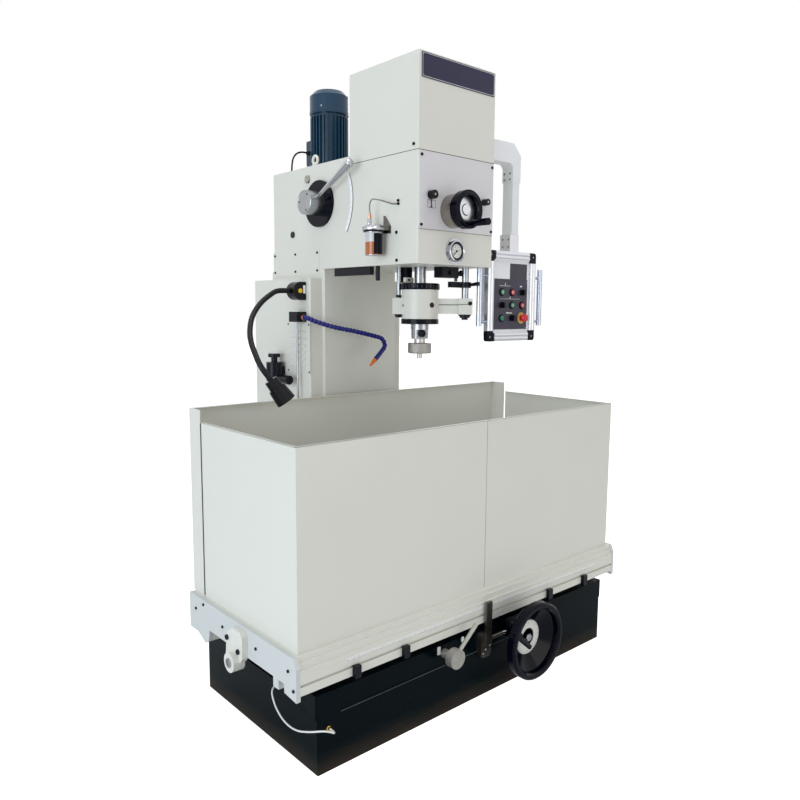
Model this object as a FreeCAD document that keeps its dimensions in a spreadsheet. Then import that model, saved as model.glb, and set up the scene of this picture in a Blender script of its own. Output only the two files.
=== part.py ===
# Vertical cylinder honing machine, built from its sizes in one frame.
# X runs along the table, Y from the operator to the column, Z up from the floor.
# The spindle axis stands at X = 0 and Y = 0.
import FreeCAD, Part
import math
import os
import re
import Sketcher

os.makedirs("parts", exist_ok=True)
doc = FreeCAD.newDocument("honing_machine")
V = FreeCAD.Vector

# Sizes in millimetres
SIZES = {
    # base
    "base_half_length": 795, "base_front": -387, "base_rear": 371,
    "base_shelf_top": 275, "base_rear_top": 250, "trough_floor": 235,
    "way_top": 325.8, "front_way_front": -250, "front_way_rear": -140,
    "rear_way_front": 105, "rear_way_rear": 170,
    "pedestal_half_width": 300, "pedestal_rear": 860, "pedestal_top": 290,
    "base_step_top": 195, "base_step_depth": 6, "base_edge": 5,
    # column and cabinets
    "column_half_width": 205, "column_front": 388, "column_rear": 800, "column_top": 1678,
    "column_wall": 25, "column_edge": 6,
    "cabinet_left": -270, "cabinet_front": 400, "cabinet_rear": 857,
    "cabinet_bottom": 640, "cabinet_top": 1637, "cabinet_wall": 3, "cabinet_edge": 5,
    "right_cabinet_side": 243,
    "vent_front": 397, "vent_rear": 575, "vent_bottom": 1226, "vent_top": 1450,
    "vent_sheet": 1.5, "louvre_pitch": 28.6, "louvre_first": 1262, "louvre_front": 428,
    "louvre_length": 116, "louvre_radius": 7,
    # head
    "head_half_width": 205, "head_front": -204, "head_rear": 785,
    "head_bottom": 1678, "head_seam": 2085, "head_wall": 20, "head_floor": 25,
    "head_rear_top": 2117, "head_lid": 12, "head_edge": 5, "shaft_opening": 30,
    "cover_front": -204, "cover_rear": 206, "cover_top": 2430, "cover_sheet": 3, "cover_edge": 4,
    "front_plate_half_width": 199, "front_plate_bottom": 1804, "front_plate_thickness": 3,
    "name_plate_bottom": 2335, "name_plate_top": 2425, "name_plate_half_width": 197,
    "name_plate_thickness": 2,
    "access_front": 430, "access_rear": 779, "access_bottom": 1657, "access_top": 1770,
    "access_thickness": 1.5,
    # motor
    "motor_y": 625, "motor_core": 76, "motor_fin_tip": 87, "motor_flange": 100,
    "motor_flange_height": 14, "motor_body_length": 268, "fin_thickness": 5, "fan_cover_radius": 89,
    "fan_cover_height": 102, "fan_cover_chamfer": 22,
    "terminal_half_width": 35, "terminal_reach": 136,
    "terminal_rise": 59, "terminal_height": 112,
    "cable_radius": 4,
    # side lever
    "dial_y": 408, "dial_z": 1951, "dial_radius": 97, "dial_thickness": 14,
    "hub_radius": 50, "hub_outer": -268, "lever_angle": 24, "lever_length": 310,
    "lever_root_radius": 8, "lever_tip_radius": 13,
    # front controls
    "knob_offset": 144, "knob_z": 1928, "knob_radius": 16, "knob_length": 26,
    "gauge_x": -9, "gauge_z": 1731, "gauge_flange": 50, "gauge_dial": 39, "gauge_depth": 9,
    "wheel_x": -30, "wheel_z": 1878, "drum_radius": 63, "drum_front": -257,
    "feed_wheel_rear": -262, "feed_wheel_radius": 71, "feed_rim_depth": 36, "feed_hub_radius": 19,
    "feed_grip_radius": 13, "feed_grip_end": 116, "feed_grip_x": 18, "feed_grip_z": -49,
    "joint_gap": 0.3,
    # table
    "table_half_length": 860, "end_plate": 16, "table_bottom": 326, "table_top": 428,
    "table_front": -399, "table_rear": 339, "table_chamfer": 9,
    "apron_lip_bottom": 305, "apron_inner": -330, "gib_front": -296, "gib_rear": -264,
    "gib_bottom": 292, "slot_bottom": 333, "slot_top": 343, "slot_depth": 9,
    "ledge_one": 411, "ledge_two": 388, "ledge_depth": 7,
    "rear_rib_front": 179, "rear_rib_tip": 215, "rear_rib_tip_z": 265, "rear_skirt_bottom": 291,
    "end_corner_bottom": 288,
    "stop_width": 26, "stop_depth": 16, "stop_bottom": 298,
    "bracket_front": -102, "bracket_rear": 14, "bracket_thickness": 22, "bracket_low": 318,
    "bracket_top": 418, "boss_y": -48, "boss_z": 302, "boss_radius": 34, "boss_length": 44,
    # tray
    "tray_half_length": 850, "tray_front": -370, "tray_bottom": 428, "tray_top": 1091,
    "tray_sheet": 3, "tray_side_rear": 257, "tray_hem": 14,
    "back_wall": 353, "back_wall_top": 1136, "back_return": 86, "back_rim": 16,
    # spindle and its carriage
    "spline_radius": 24, "spline_root": 20.5, "spline_width": 7, "shaft_top": 2075,
    "nose_top": 1450, "nose_bottom": 1389, "nose_radius": 36, "nose_slot": 30,
    "driver_neck_radius": 22, "neck_bottom": 1373, "disc_bottom": 1330, "disc_radius": 48,
    "tip_bottom": 1308, "tip_radius": 10.5, "pin_radius": 13,
    "quill_radius": 75, "quill_top": 1588, "quill_bottom": 1463,
    "band_radius": 74, "top_band_top": 1609, "bottom_band_bottom": 1450,
    "running_fit": 0.08,
    "arm_angle": -40, "arm_width": 38, "arm_bottom": 1491, "arm_top": 1553,
    "rod_offset": 184, "reversing_rod_radius": 14, "arm_block": 56,
    "block_bottom": 1489, "block_top": 1554,
    "piston_offset": 87, "piston_rod_radius": 8.8, "bracket_half": 26,
    "rods_top": 2070,
    "dog_bottom": 1597, "dog_top": 1620, "dog_ring": 24, "dog_lever_length": 50,
    # table handwheel and clamp
    "table_wheel_x": 146, "table_wheel_z": 229, "table_wheel_radius": 152, "table_wheel_web": -478,
    "table_wheel_depth": 67, "rim_width": 26, "web_thickness": 6, "table_hub_radius": 30,
    "fold_grip_radius": 12,
    "clamp_x": -220, "clamp_z": 243, "clamp_radius": 36, "clamp_front": -462, "clamp_hub": 30, "clamp_stem": 17,
    "clamp_handle_length": 148, "clamp_handle_root": 7, "clamp_handle_tip": 9,
    "index_left": -42, "index_right": 16, "index_bottom": 170, "index_top": 268, "index_depth": 26,
    "index_round": 18,
    "index_arm_left": -20, "index_arm_right": 12, "index_arm_top": 390, "index_arm_front": -418,
    "index_arm_rear": -408, "index_rod_radius": 7,
    # pendant
    "pendant_x": 372, "pendant_y": -153, "pendant_left": 214, "pendant_right": 519,
    "pendant_front": -178, "pendant_rear": -158, "pendant_height": 374,
    "profile": 36, "corner": 44, "corner_round": 12, "panel_recess": 8,
    "housing_left": 240, "housing_right": 493, "housing_rear": -112,
    "housing_rise": 72,
    "handle_radius": 11, "handle_offset": 41, "handle_rise": 64, "handle_length": 224, "handle_y": -168,
    "tube_depth": 52, "tube_width": 42, "tube_wall": 4, "coupling": 7,
    "arm_underside": 2108, "arm_depth": 80, "elbow_drop": 73, "drop_length": 213, "coupling_height": 70,
    "swivel_gap": 0.2, "swivel_radius": 15, "pin_length": 14, "elbow_bevel": 46,
    "control_first_x": 306, "control_pitch_x": 65, "control_drop": 169, "control_pitch_z": 54,
    "dark_panel_rise": 50, "dark_panel_height": 203, "dark_panel_thickness": 2, "dark_panel_inset": 12,
    "button_radius": 11, "button_proud": 7, "button_sunk": 6, "button_travel": 4, "control_gap": 0.4,
    "selector_radius": 13, "bezel_radius": 15, "stop_radius": 18, "stop_stem": 11,
    # lamp, coolant and air fittings on the left cabinet
    "lamp_base_front": 425, "lamp_base_rear": 480, "lamp_base_x": -297, "lamp_base_z": 1583.5,
    "lamp_base_radius": 38, "neck_radius": 11, "neck_start_x": -338, "lamp_cap": 28, "lamp_cap_length": 40, "shade_rear": 34, "shade_front": 39.5,
    "shade_length": 64,
    "coolant_left": -320, "coolant_front": 425, "coolant_rear": 485, "coolant_bottom": 1452,
    "coolant_top": 1495, "pipe_radius": 5, "pipe_x": -292, "pipe_y": 463, "pipe_low": 700,
    "hose_radius": 9.5, "regulator_x": -312, "regulator_y": 622, "oil_tube_radius": 3,
    "tube_radius": 2,
}

sheet = doc.addObject("Spreadsheet::Sheet", "Sizes")
for row, (size_name, size_value) in enumerate(SIZES.items(), start=1):
    sheet.set("A%d" % row, size_name.replace("_", " "))
    sheet.set("B%d" % row, str(size_value))
    sheet.setAlias("B%d" % row, size_name)
doc.recompute()


# Levels and faces that follow from the sizes; what a level stands on comes after it
LEVELS = {
    "fan_cover_top": "motor_body_top + fan_cover_height",
    "motor_body_top": "head_rear_top + motor_body_length",
    "terminal_top": "terminal_bottom + terminal_height",
    "terminal_bottom": "head_rear_top + terminal_rise",
    "housing_bottom": "pendant_bottom + housing_rise",
    "handle_top": "handle_bottom + handle_length",
    "handle_bottom": "pendant_bottom + handle_rise",
    "dark_panel_top": "dark_panel_bottom + dark_panel_height",
    "dark_panel_bottom": "pendant_bottom + dark_panel_rise",
    "control_top_z": "pendant_top - control_drop",
    "pendant_bottom": "pendant_top - pendant_height",
    "pendant_top": "coupling_top - coupling_height",
    "coupling_top": "elbow_bottom - drop_length",
    "elbow_bottom": "arm_underside - elbow_drop",
    "arm_top_z": "arm_underside + arm_depth",
}


def link(text):
    """An expression in which each level is worked out and each size name points to its cell."""
    text = str(text)
    for level, rule in LEVELS.items():
        text = re.sub(r"\b%s\b" % level, "(%s)" % rule, text)
    return re.sub(r"[a-z][a-z_]*[a-z]", lambda m: "Sizes." + m.group(0) if m.group(0) in SIZES else m.group(0), text)


def bind(item, prop, text):
    item.setExpression(prop, link(text))


def size(name):
    return float(SIZES[name])


# Plain solids, each bound to the sheet
count = [0]


def unique(stem):
    count[0] += 1
    return "%s_%03d" % (stem, count[0])


def set_place(item, x, y, z):
    bind(item, "Placement.Base.x", x)
    bind(item, "Placement.Base.y", y)
    bind(item, "Placement.Base.z", z)


def block(x0, x1, y0, y1, z0, z1):
    """A box between three pairs of planes."""
    item = doc.addObject("Part::Box", unique("block"))
    bind(item, "Length", "(%s) - (%s)" % (x1, x0))
    bind(item, "Width", "(%s) - (%s)" % (y1, y0))
    bind(item, "Height", "(%s) - (%s)" % (z1, z0))
    set_place(item, x0, y0, z0)
    return item


TURNS = {
    "x": FreeCAD.Rotation(V(0, 1, 0), 90),
    "y": FreeCAD.Rotation(V(1, 0, 0), -90),
    "z": FreeCAD.Rotation(),
}


def rod(axis, x, y, z, length, radius, top_radius=None):
    """A cylinder, or a cone with top_radius, that starts at x, y, z and runs along +axis."""
    item = doc.addObject("Part::Cylinder" if top_radius is None else "Part::Cone", unique("rod"))
    turn = TURNS[axis] if isinstance(axis, str) else axis
    item.Placement = FreeCAD.Placement(V(0, 0, 0), turn)
    if top_radius is None:
        bind(item, "Radius", radius)
    else:
        bind(item, "Radius1", radius)
        bind(item, "Radius2", top_radius)
    bind(item, "Height", length)
    set_place(item, x, y, z)
    return item


def ball(x, y, z, radius):
    item = doc.addObject("Part::Sphere", unique("ball"))
    bind(item, "Radius", radius)
    set_place(item, x, y, z)
    return item


def ring(axis, x, y, z, radius, thickness):
    """A torus about an axis."""
    item = doc.addObject("Part::Torus", unique("ring"))
    item.Placement = FreeCAD.Placement(V(0, 0, 0), TURNS[axis])
    bind(item, "Radius1", radius)
    bind(item, "Radius2", thickness)
    set_place(item, x, y, z)
    return item


NODES = []


def name_node(item, label):
    item.Label = label
    NODES.append(item)
    return item


def join(items, label=None):
    if len(items) == 1:
        item = items[0]
    else:
        item = doc.addObject("Part::MultiFuse", unique("joined"))
        item.Shapes = items
        item.Refine = True
    if label:
        name_node(item, label)
    return item


def group(items, label):
    """Like pieces that stay separate solids in one node."""
    item = doc.addObject("Part::Compound", unique("group"))
    item.Links = items
    return name_node(item, label)


def cut(base, tools, label=None):
    item = doc.addObject("Part::Cut", unique("cut"))
    item.Base = base
    item.Tool = join(tools) if isinstance(tools, list) else tools
    item.Refine = True
    if label:
        name_node(item, label)
    return item


# Sketched bodies
class Casting:
    """One PartDesign body: outlines on its own origin planes, padded, pocketed or turned."""

    def __init__(self, label, is_node=True):
        self.body = doc.addObject("PartDesign::Body", unique("body"))
        if is_node:
            name_node(self.body, label)

    def place(self, x, y, z):
        set_place(self.body, x, y, z)

    def sketch(self, role, offset="0"):
        plane = [f for f in self.body.Origin.OriginFeatures if f.Role == role][0]
        sk = self.body.newObject("Sketcher::SketchObject", unique("outline"))
        sk.AttachmentSupport = [(plane, "")]
        sk.MapMode = "FlatFace"
        bind(sk, "AttachmentOffset.Base.z", offset)
        return sk

    def polygon(self, sk, points):
        start = sk.GeometryCount
        turn = 2 * math.pi / len(points)
        places = [V(10 * math.cos(turn * k), 10 * math.sin(turn * k), 0) for k in range(len(points))]
        for k in range(len(points)):
            sk.addGeometry(Part.LineSegment(places[k], places[(k + 1) % len(points)]))
        for k in range(len(points)):
            sk.addConstraint(Sketcher.Constraint("Coincident", start + k, 2, start + (k + 1) % len(points), 1))
        for k, (u, v) in enumerate(points):
            for kind, value in (("DistanceX", u), ("DistanceY", v)):
                place = places[k].x if kind == "DistanceX" else places[k].y
                index = sk.addConstraint(Sketcher.Constraint(kind, -1, 1, start + k, 1, place))
                bind(sk, "Constraints[%d]" % index, value)

    def circle(self, sk, u, v, radius):
        index = sk.addGeometry(Part.Circle(V(1, 1, 0), V(0, 0, 1), 5))
        for kind, value in (("DistanceX", u), ("DistanceY", v)):
            made = sk.addConstraint(Sketcher.Constraint(kind, -1, 1, index, 3, 1.0))
            bind(sk, "Constraints[%d]" % made, value)
        made = sk.addConstraint(Sketcher.Constraint("Radius", index, 5.0))
        bind(sk, "Constraints[%d]" % made, radius)

    def rectangle(self, sk, u0, u1, v0, v1):
        self.polygon(sk, [(u0, v0), (u1, v0), (u1, v1), (u0, v1)])

    def feature(self, kind, sk, length, midplane=False, backwards=False):
        item = self.body.newObject("PartDesign::" + kind, unique(kind.lower()))
        item.Profile = sk
        bind(item, "Length", length)
        item.Midplane = midplane
        item.Reversed = backwards
        self.body.Tip = item
        return item

    def pad(self, sk, length, midplane=False, backwards=False):
        return self.feature("Pad", sk, length, midplane, backwards)

    def pocket(self, sk, length, midplane=False, backwards=False):
        return self.feature("Pocket", sk, length, midplane, backwards)

    def turned(self, sk, kind="Revolution"):
        """Turn an outline on the XZ plane once about the body's own Z axis."""
        item = self.body.newObject("PartDesign::" + kind, unique(kind.lower()))
        item.Profile = sk
        axis = [f for f in self.body.Origin.OriginFeatures if f.Role == "Z_Axis"][0]
        item.ReferenceAxis = (axis, [""])
        item.Angle = 360
        self.body.Tip = item
        return item

    def repeat(self, original, number, role="Z_Axis"):
        """Copies of a feature, evenly spaced in one turn about an axis of the body."""
        item = self.body.newObject("PartDesign::PolarPattern", unique("pattern"))
        item.Originals = [original]
        axis = [f for f in self.body.Origin.OriginFeatures if f.Role == role][0]
        item.Axis = (axis, [""])
        item.Angle = 360
        item.Occurrences = number
        self.body.Tip = item
        return item

    def edges(self, keep, amount, kind="Chamfer"):
        """Round or bevel every edge of the present tip whose middle passes keep."""
        doc.recompute()
        tip = self.body.Tip
        names = []
        for k, edge in enumerate(tip.Shape.Edges, start=1):
            middle = edge.valueAt((edge.FirstParameter + edge.LastParameter) / 2)
            if keep(middle, edge):
                names.append("Edge%d" % k)
        if not names:
            raise RuntimeError("no edge found on " + self.body.Label)
        item = self.body.newObject("PartDesign::" + kind, unique(kind.lower()))
        item.Base = (tip, names)
        bind(item, "Radius" if kind == "Fillet" else "Size", amount)
        self.body.Tip = item
        return item


def upright(edge):
    """True for a straight edge along Z."""
    if edge.Curve.TypeId != "Part::GeomLine":
        return False
    return abs(edge.tangentAt(edge.FirstParameter).z) > 0.99


def near(a, b, reach=0.6):
    return abs(a - b) < reach


# Cords: a round section swept along straight runs joined by tangent arcs
CORD_NOTES = []


def route(points, closed_radius, label):
    """Wire of straight runs and tangent arcs through the points, each arc as large as 0.45 of its shorter run."""
    corners = [V(*p) for p in points]
    edges = []
    start = corners[0]
    tightest = None
    for k in range(1, len(corners) - 1):
        before = corners[k - 1] - corners[k]
        after = corners[k + 1] - corners[k]
        shorter = min(before.Length, after.Length)
        turn = math.pi - before.getAngle(after)
        into = before.normalize()
        out = after.normalize()
        reach = 0.45 * shorter
        radius = reach / math.tan(turn / 2)
        tightest = radius if tightest is None else min(tightest, radius)
        first = corners[k] + into * reach
        last = corners[k] + out * reach
        inward = (into + out).normalize()
        middle = corners[k] + inward * (radius / math.cos(turn / 2) - radius)
        edges.append(Part.LineSegment(start, first).toShape())
        edges.append(Part.Arc(first, middle, last).toShape())
        start = last
    edges.append(Part.LineSegment(start, corners[-1]).toShape())
    CORD_NOTES.append((label, closed_radius, tightest))
    return Part.Wire(edges)


def cord(points, radius_name, label):
    """A swept cord; its section's radius is read from the sheet."""
    radius = float(sheet.get(radius_name))
    wire = route(points, radius, label)
    along = wire.Edges[0].tangentAt(wire.Edges[0].FirstParameter)
    section = Part.Wire([Part.Circle(V(*points[0]), along, radius).toShape()])
    made = wire.makePipeShell([section], True, True)
    item = doc.addObject("Part::Feature", unique("cord"))
    item.Shape = made
    expected = math.pi * radius ** 2 * wire.Length
    if abs(made.Volume - expected) > 0.01 * expected:
        raise RuntimeError("volume of %s is %.0f, not %.0f" % (label, made.Volume, expected))
    return name_node(item, label)


# Base: a long bed with two ways and a trough between them, and a pedestal behind for the column
base = Casting("base")
bed_outline = [("base_front", "0"), ("base_rear", "0"), ("base_rear", "base_rear_top"),
               ("rear_way_rear", "base_rear_top"), ("rear_way_rear", "way_top"),
               ("rear_way_front", "way_top"), ("rear_way_front", "trough_floor"),
               ("front_way_rear", "trough_floor"), ("front_way_rear", "way_top"),
               ("front_way_front", "way_top"), ("front_way_front", "base_shelf_top"),
               ("base_front", "base_shelf_top")]
sk = base.sketch("YZ_Plane")
base.polygon(sk, bed_outline)
base.pad(sk, "(base_half_length - base_step_depth) * 2", midplane=True)
sk = base.sketch("YZ_Plane")
base.polygon(sk, [("base_front", "base_step_top"), ("base_rear", "base_step_top")] + bed_outline[2:])
base.pad(sk, "base_half_length * 2", midplane=True)
sk = base.sketch("XY_Plane")
base.rectangle(sk, "-pedestal_half_width", "pedestal_half_width", "base_rear - 5", "pedestal_rear")
base.pad(sk, "pedestal_top")
base.edges(lambda p, e: upright(e) and (near(abs(p.x), size("base_half_length")) or near(abs(p.x),
           size("base_half_length") - size("base_step_depth")) or near(p.y, size("pedestal_rear"))),
           "base_edge", "Fillet")

# Column, hollow from below
column = Casting("column")
sk = column.sketch("XY_Plane", "pedestal_top")
column.rectangle(sk, "-column_half_width", "column_half_width", "column_front", "column_rear")
column.pad(sk, "column_top - pedestal_top")
column.edges(lambda p, e: upright(e) and near(p.y, size("column_front")), "column_edge")
sk = column.sketch("XY_Plane", "pedestal_top")
column.rectangle(sk, "-column_half_width + column_wall", "column_half_width - column_wall",
                 "column_front + column_wall", "column_rear - column_wall")
column.pocket(sk, "column_top - pedestal_top - column_wall", backwards=True)

# Sheet cabinets on both sides of the column, open towards it
cabinet = Casting("left", False)
sk = cabinet.sketch("XY_Plane", "cabinet_bottom")
cabinet.rectangle(sk, "cabinet_left", "-column_half_width", "cabinet_front", "cabinet_rear")
cabinet.pad(sk, "cabinet_top - cabinet_bottom")
cabinet.edges(lambda p, e: upright(e) and near(p.x, size("cabinet_left")), "cabinet_edge")
sk = cabinet.sketch("XY_Plane", "cabinet_bottom + cabinet_wall")
cabinet.rectangle(sk, "cabinet_left + cabinet_wall", "-column_half_width", "cabinet_front + cabinet_wall",
                  "cabinet_rear - cabinet_wall")
cabinet.pocket(sk, "cabinet_top - cabinet_bottom - cabinet_wall * 2", backwards=True)

right_cabinet = Casting("right", False)
sk = right_cabinet.sketch("XY_Plane", "cabinet_bottom")
right_cabinet.rectangle(sk, "column_half_width", "right_cabinet_side", "cabinet_front", "cabinet_rear")
right_cabinet.pad(sk, "cabinet_top - cabinet_bottom")
right_cabinet.edges(lambda p, e: upright(e) and near(p.x, size("right_cabinet_side")), "cabinet_edge")
sk = right_cabinet.sketch("XY_Plane", "cabinet_bottom + cabinet_wall")
right_cabinet.rectangle(sk, "column_half_width", "right_cabinet_side - cabinet_wall",
                        "cabinet_front + cabinet_wall", "cabinet_rear - cabinet_wall")
right_cabinet.pocket(sk, "cabinet_top - cabinet_bottom - cabinet_wall * 2", backwards=True)
group([cabinet.body, right_cabinet.body], "side_cabinets")

# Louvred cover on the left cabinet: six pressed half-round louvres
louvres = [block("cabinet_left - vent_sheet", "cabinet_left", "vent_front", "vent_rear", "vent_bottom", "vent_top")]
for k in range(6):
    whole = rod("y", "cabinet_left - vent_sheet", "louvre_front", "louvre_first + louvre_pitch * %d" % k,
                "louvre_length", "louvre_radius")
    keep = block("cabinet_left - vent_sheet - louvre_radius - 1", "cabinet_left - vent_sheet / 2", "louvre_front - 1",
                 "louvre_front + louvre_length + 1", "louvre_first + louvre_pitch * %d" % k,
                 "louvre_first + louvre_radius + louvre_pitch * %d + 1" % k)
    louvre = doc.addObject("Part::MultiCommon", unique("louvre"))
    louvre.Shapes = [whole, keep]
    louvres.append(louvre)
join(louvres, "cabinet_vent")

# Head: hollow casting, higher at the rear where the motor stands
head = Casting("head_casting")
sk = head.sketch("XY_Plane", "head_bottom")
head.rectangle(sk, "-head_half_width", "head_half_width", "head_front", "head_rear")
head.pad(sk, "head_seam - head_bottom")
sk = head.sketch("XY_Plane", "head_seam")
head.rectangle(sk, "-head_half_width + head_wall", "head_half_width - head_wall",
               "head_front + head_wall", "head_rear - head_wall")
head.pocket(sk, "head_seam - head_bottom - head_floor")
sk = head.sketch("XY_Plane", "head_seam")
head.rectangle(sk, "-head_half_width", "head_half_width", "cover_rear + 0.5", "head_rear")
head.pad(sk, "head_rear_top - head_seam")
sk = head.sketch("XY_Plane", "head_seam")
head.rectangle(sk, "-head_half_width + head_wall", "head_half_width - head_wall",
               "cover_rear + 0.5 + head_wall", "head_rear - head_wall")
head.pocket(sk, "head_rear_top - head_seam - head_lid", backwards=True)
head.edges(lambda p, e: upright(e) and (near(p.y, size("head_rear")) or near(p.y, size("head_front")))
           and near(abs(p.x), size("head_half_width")), "head_edge")
sk = head.sketch("XY_Plane", "head_seam")
head.circle(sk, "0", "0", "shaft_opening")
for name, sign, offset in (("reversing_rod_radius", "", "rod_offset"), ("piston_rod_radius", "-", "piston_offset")):
    head.circle(sk, "%s%s * cos(arm_angle * 1 deg)" % (sign, offset), "%s%s * sin(arm_angle * 1 deg)" % (sign, offset),
                "%s + 1" % name)
head.pocket(sk, "head_seam - head_bottom + 1")

cover = Casting("head_cover")
sk = cover.sketch("XY_Plane", "head_seam")
cover.rectangle(sk, "-head_half_width", "head_half_width", "cover_front", "cover_rear")
cover.pad(sk, "cover_top - head_seam")
cover.edges(lambda p, e: upright(e) or near(p.z, size("cover_top")), "cover_edge", "Fillet")
sk = cover.sketch("XY_Plane", "head_seam")
cover.rectangle(sk, "-head_half_width + cover_sheet", "head_half_width - cover_sheet",
                "cover_front + cover_sheet", "cover_rear - cover_sheet")
cover.pocket(sk, "cover_top - head_seam - cover_sheet", backwards=True)

join([block("-front_plate_half_width", "front_plate_half_width", "head_front - front_plate_thickness", "head_front",
            "front_plate_bottom", "head_seam - 4")], "head_front_plate")

# Motor: core and flange turned, fins patterned round it, fan cover and terminal box
motor = Casting("motor")
motor.place("0", "motor_y", "0")
sk = motor.sketch("XZ_Plane")
motor.polygon(sk, [("0", "head_rear_top"), ("motor_flange", "head_rear_top"),
                   ("motor_flange", "head_rear_top + motor_flange_height"),
                   ("motor_core", "head_rear_top + motor_flange_height"), ("motor_core", "motor_body_top"),
                   ("fan_cover_radius", "motor_body_top"),
                   ("fan_cover_radius", "fan_cover_top - fan_cover_chamfer"),
                   ("fan_cover_radius - fan_cover_chamfer", "fan_cover_top"), ("0", "fan_cover_top")])
motor.turned(sk)
sk = motor.sketch("XY_Plane", "head_rear_top + motor_flange_height + 12")
motor.rectangle(sk, "motor_core - 4", "motor_fin_tip", "-fin_thickness / 2", "fin_thickness / 2")
fin = motor.pad(sk, "motor_body_top - head_rear_top - motor_flange_height - 24")
motor.repeat(fin, 30)
sk = motor.sketch("XY_Plane", "terminal_bottom")
motor.rectangle(sk, "-terminal_half_width", "terminal_half_width", "motor_core - 10", "terminal_reach")
motor.pad(sk, "terminal_top - terminal_bottom")

lid = size("head_rear_top")
box_side = -size("terminal_half_width")
box_middle = lid + size("terminal_rise") + size("terminal_height") / 2
cable_y = size("motor_y") + size("terminal_reach") - 24
cord([(box_side, cable_y, box_middle), (box_side - 44, cable_y, box_middle + 4),
      (box_side - 92, cable_y - 14, box_middle - 20), (box_side - 122, cable_y - 36, box_middle - 64),
      (box_side - 126, cable_y - 42, lid)], "cable_radius", "motor_cable")

# Lifting eye on the head
eye = join([ring("x", "-187", "470", "head_rear_top + 26", "17", "6"),
            rod("z", "-187", "470", "head_rear_top", "16", "8"),
            rod("z", "-187", "470", "head_rear_top", "4", "16")], "lifting_eye")

# Left side of the head: lever with its dial, plugs, and the oil cup
join([rod("x", "-head_half_width - dial_thickness", "dial_y", "dial_z", "dial_thickness", "dial_radius")],
     "lever_dial")
lever_turn = FreeCAD.Rotation(V(0, 0, 1), V(-0.05, -math.cos(math.radians(size("lever_angle"))),
                                           math.sin(math.radians(size("lever_angle")))))
join([rod("x", "hub_outer", "dial_y", "dial_z", "-head_half_width - dial_thickness - 0.3 - hub_outer", "hub_radius"),
      rod(lever_turn, "hub_outer + 22", "dial_y", "dial_z", "90", "14"),
      rod(lever_turn, "hub_outer + 22", "dial_y", "dial_z", "lever_length", "lever_root_radius", "lever_tip_radius"),
      ], "side_lever")
group([rod("x", "-head_half_width - 6", "500", "2062", "6", "15"),
       rod("x", "-head_half_width - 5", "622", "1837", "5", "14"),
       rod("y", "-knob_offset", "head_front - front_plate_thickness - knob_length", "knob_z", "knob_length",
           "knob_radius"),
       rod("y", "knob_offset", "head_front - front_plate_thickness - knob_length", "knob_z", "knob_length",
           "knob_radius * 0.8")], "knobs_and_plugs")

oiler = join([rod("z", "-250", "-6", "1806", "8", "43"),
              rod("z", "-250", "-6", "1814", "14", "35"),
              rod("z", "-250", "20", "1826", "36", "8"),
              block("-212", "-head_half_width", "-97", "-20", "1771", "1855"),
              block("-250", "-head_half_width", "-62", "-24", "1807", "1826"),
              rod("z", "-250", "-6", "1798", "8", "36")], "oil_cup_cap")
join([rod("z", "-250", "-6", "1714", "83.8", "33")], "oil_cup_jar")

# Front of the head: pressure gauge, graduated drum and small handwheel
join([rod("y", "gauge_x", "head_front - 3", "gauge_z", "3", "gauge_flange"),
      rod("y", "gauge_x", "head_front - gauge_depth", "gauge_z", "gauge_depth", "gauge_dial")], "pressure_gauge")
join([rod("y", "wheel_x", "drum_front", "wheel_z", "head_front - front_plate_thickness - drum_front",
          "drum_radius"),
      ], "feed_drum")
feed = Casting("feed_handwheel")
feed.body.Placement = FreeCAD.Placement(V(0, 0, 0), FreeCAD.Rotation(V(1, 0, 0), 90))
feed.place("wheel_x", "feed_wheel_rear", "wheel_z")
sk = feed.sketch("XZ_Plane")
feed.polygon(sk, [("0", "feed_wheel_rear - drum_front + joint_gap"), ("feed_hub_radius", "feed_wheel_rear - drum_front + joint_gap"),
                  ("feed_hub_radius", "0"), ("feed_wheel_radius - 11", "0"), ("feed_wheel_radius", "8"),
                  ("feed_wheel_radius", "feed_rim_depth"), ("feed_wheel_radius - 9", "feed_rim_depth"),
                  ("feed_wheel_radius - 13", "14"), ("feed_hub_radius", "10"), ("feed_hub_radius", "20"),
                  ("0", "20")])
feed.turned(sk)
sk = feed.sketch("XY_Plane", "8")
feed.circle(sk, "feed_grip_x", "feed_grip_z", "feed_grip_radius")
feed.pad(sk, "feed_grip_end - 8")

# Table: one long section with the apron in front and the way rib behind
table = Casting("table")
sk = table.sketch("YZ_Plane")
table.polygon(sk, [("table_front", "apron_lip_bottom"), ("apron_inner", "apron_lip_bottom"),
                   ("apron_inner", "table_bottom"), ("gib_front", "table_bottom"), ("gib_front", "gib_bottom"),
                   ("gib_rear", "gib_bottom"), ("gib_rear", "table_bottom"), ("rear_rib_front", "table_bottom"),
                   ("rear_rib_front + 8", "rear_rib_tip_z + 17"), ("rear_rib_tip", "rear_rib_tip_z"),
                   ("rear_rib_tip + 60", "rear_skirt_bottom"), ("table_rear", "rear_skirt_bottom"),
                   ("table_rear", "table_top"), ("table_front + ledge_depth * 2", "table_top"),
                   ("table_front + ledge_depth * 2", "ledge_one"), ("table_front + ledge_depth", "ledge_one"),
                   ("table_front + ledge_depth", "ledge_two"), ("table_front", "ledge_two"),
                   ("table_front", "slot_top"), ("table_front + slot_depth", "slot_top"),
                   ("table_front + slot_depth", "slot_bottom"), ("table_front", "slot_bottom")])
table.pad(sk, "table_half_length * 2", midplane=True)

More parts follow.
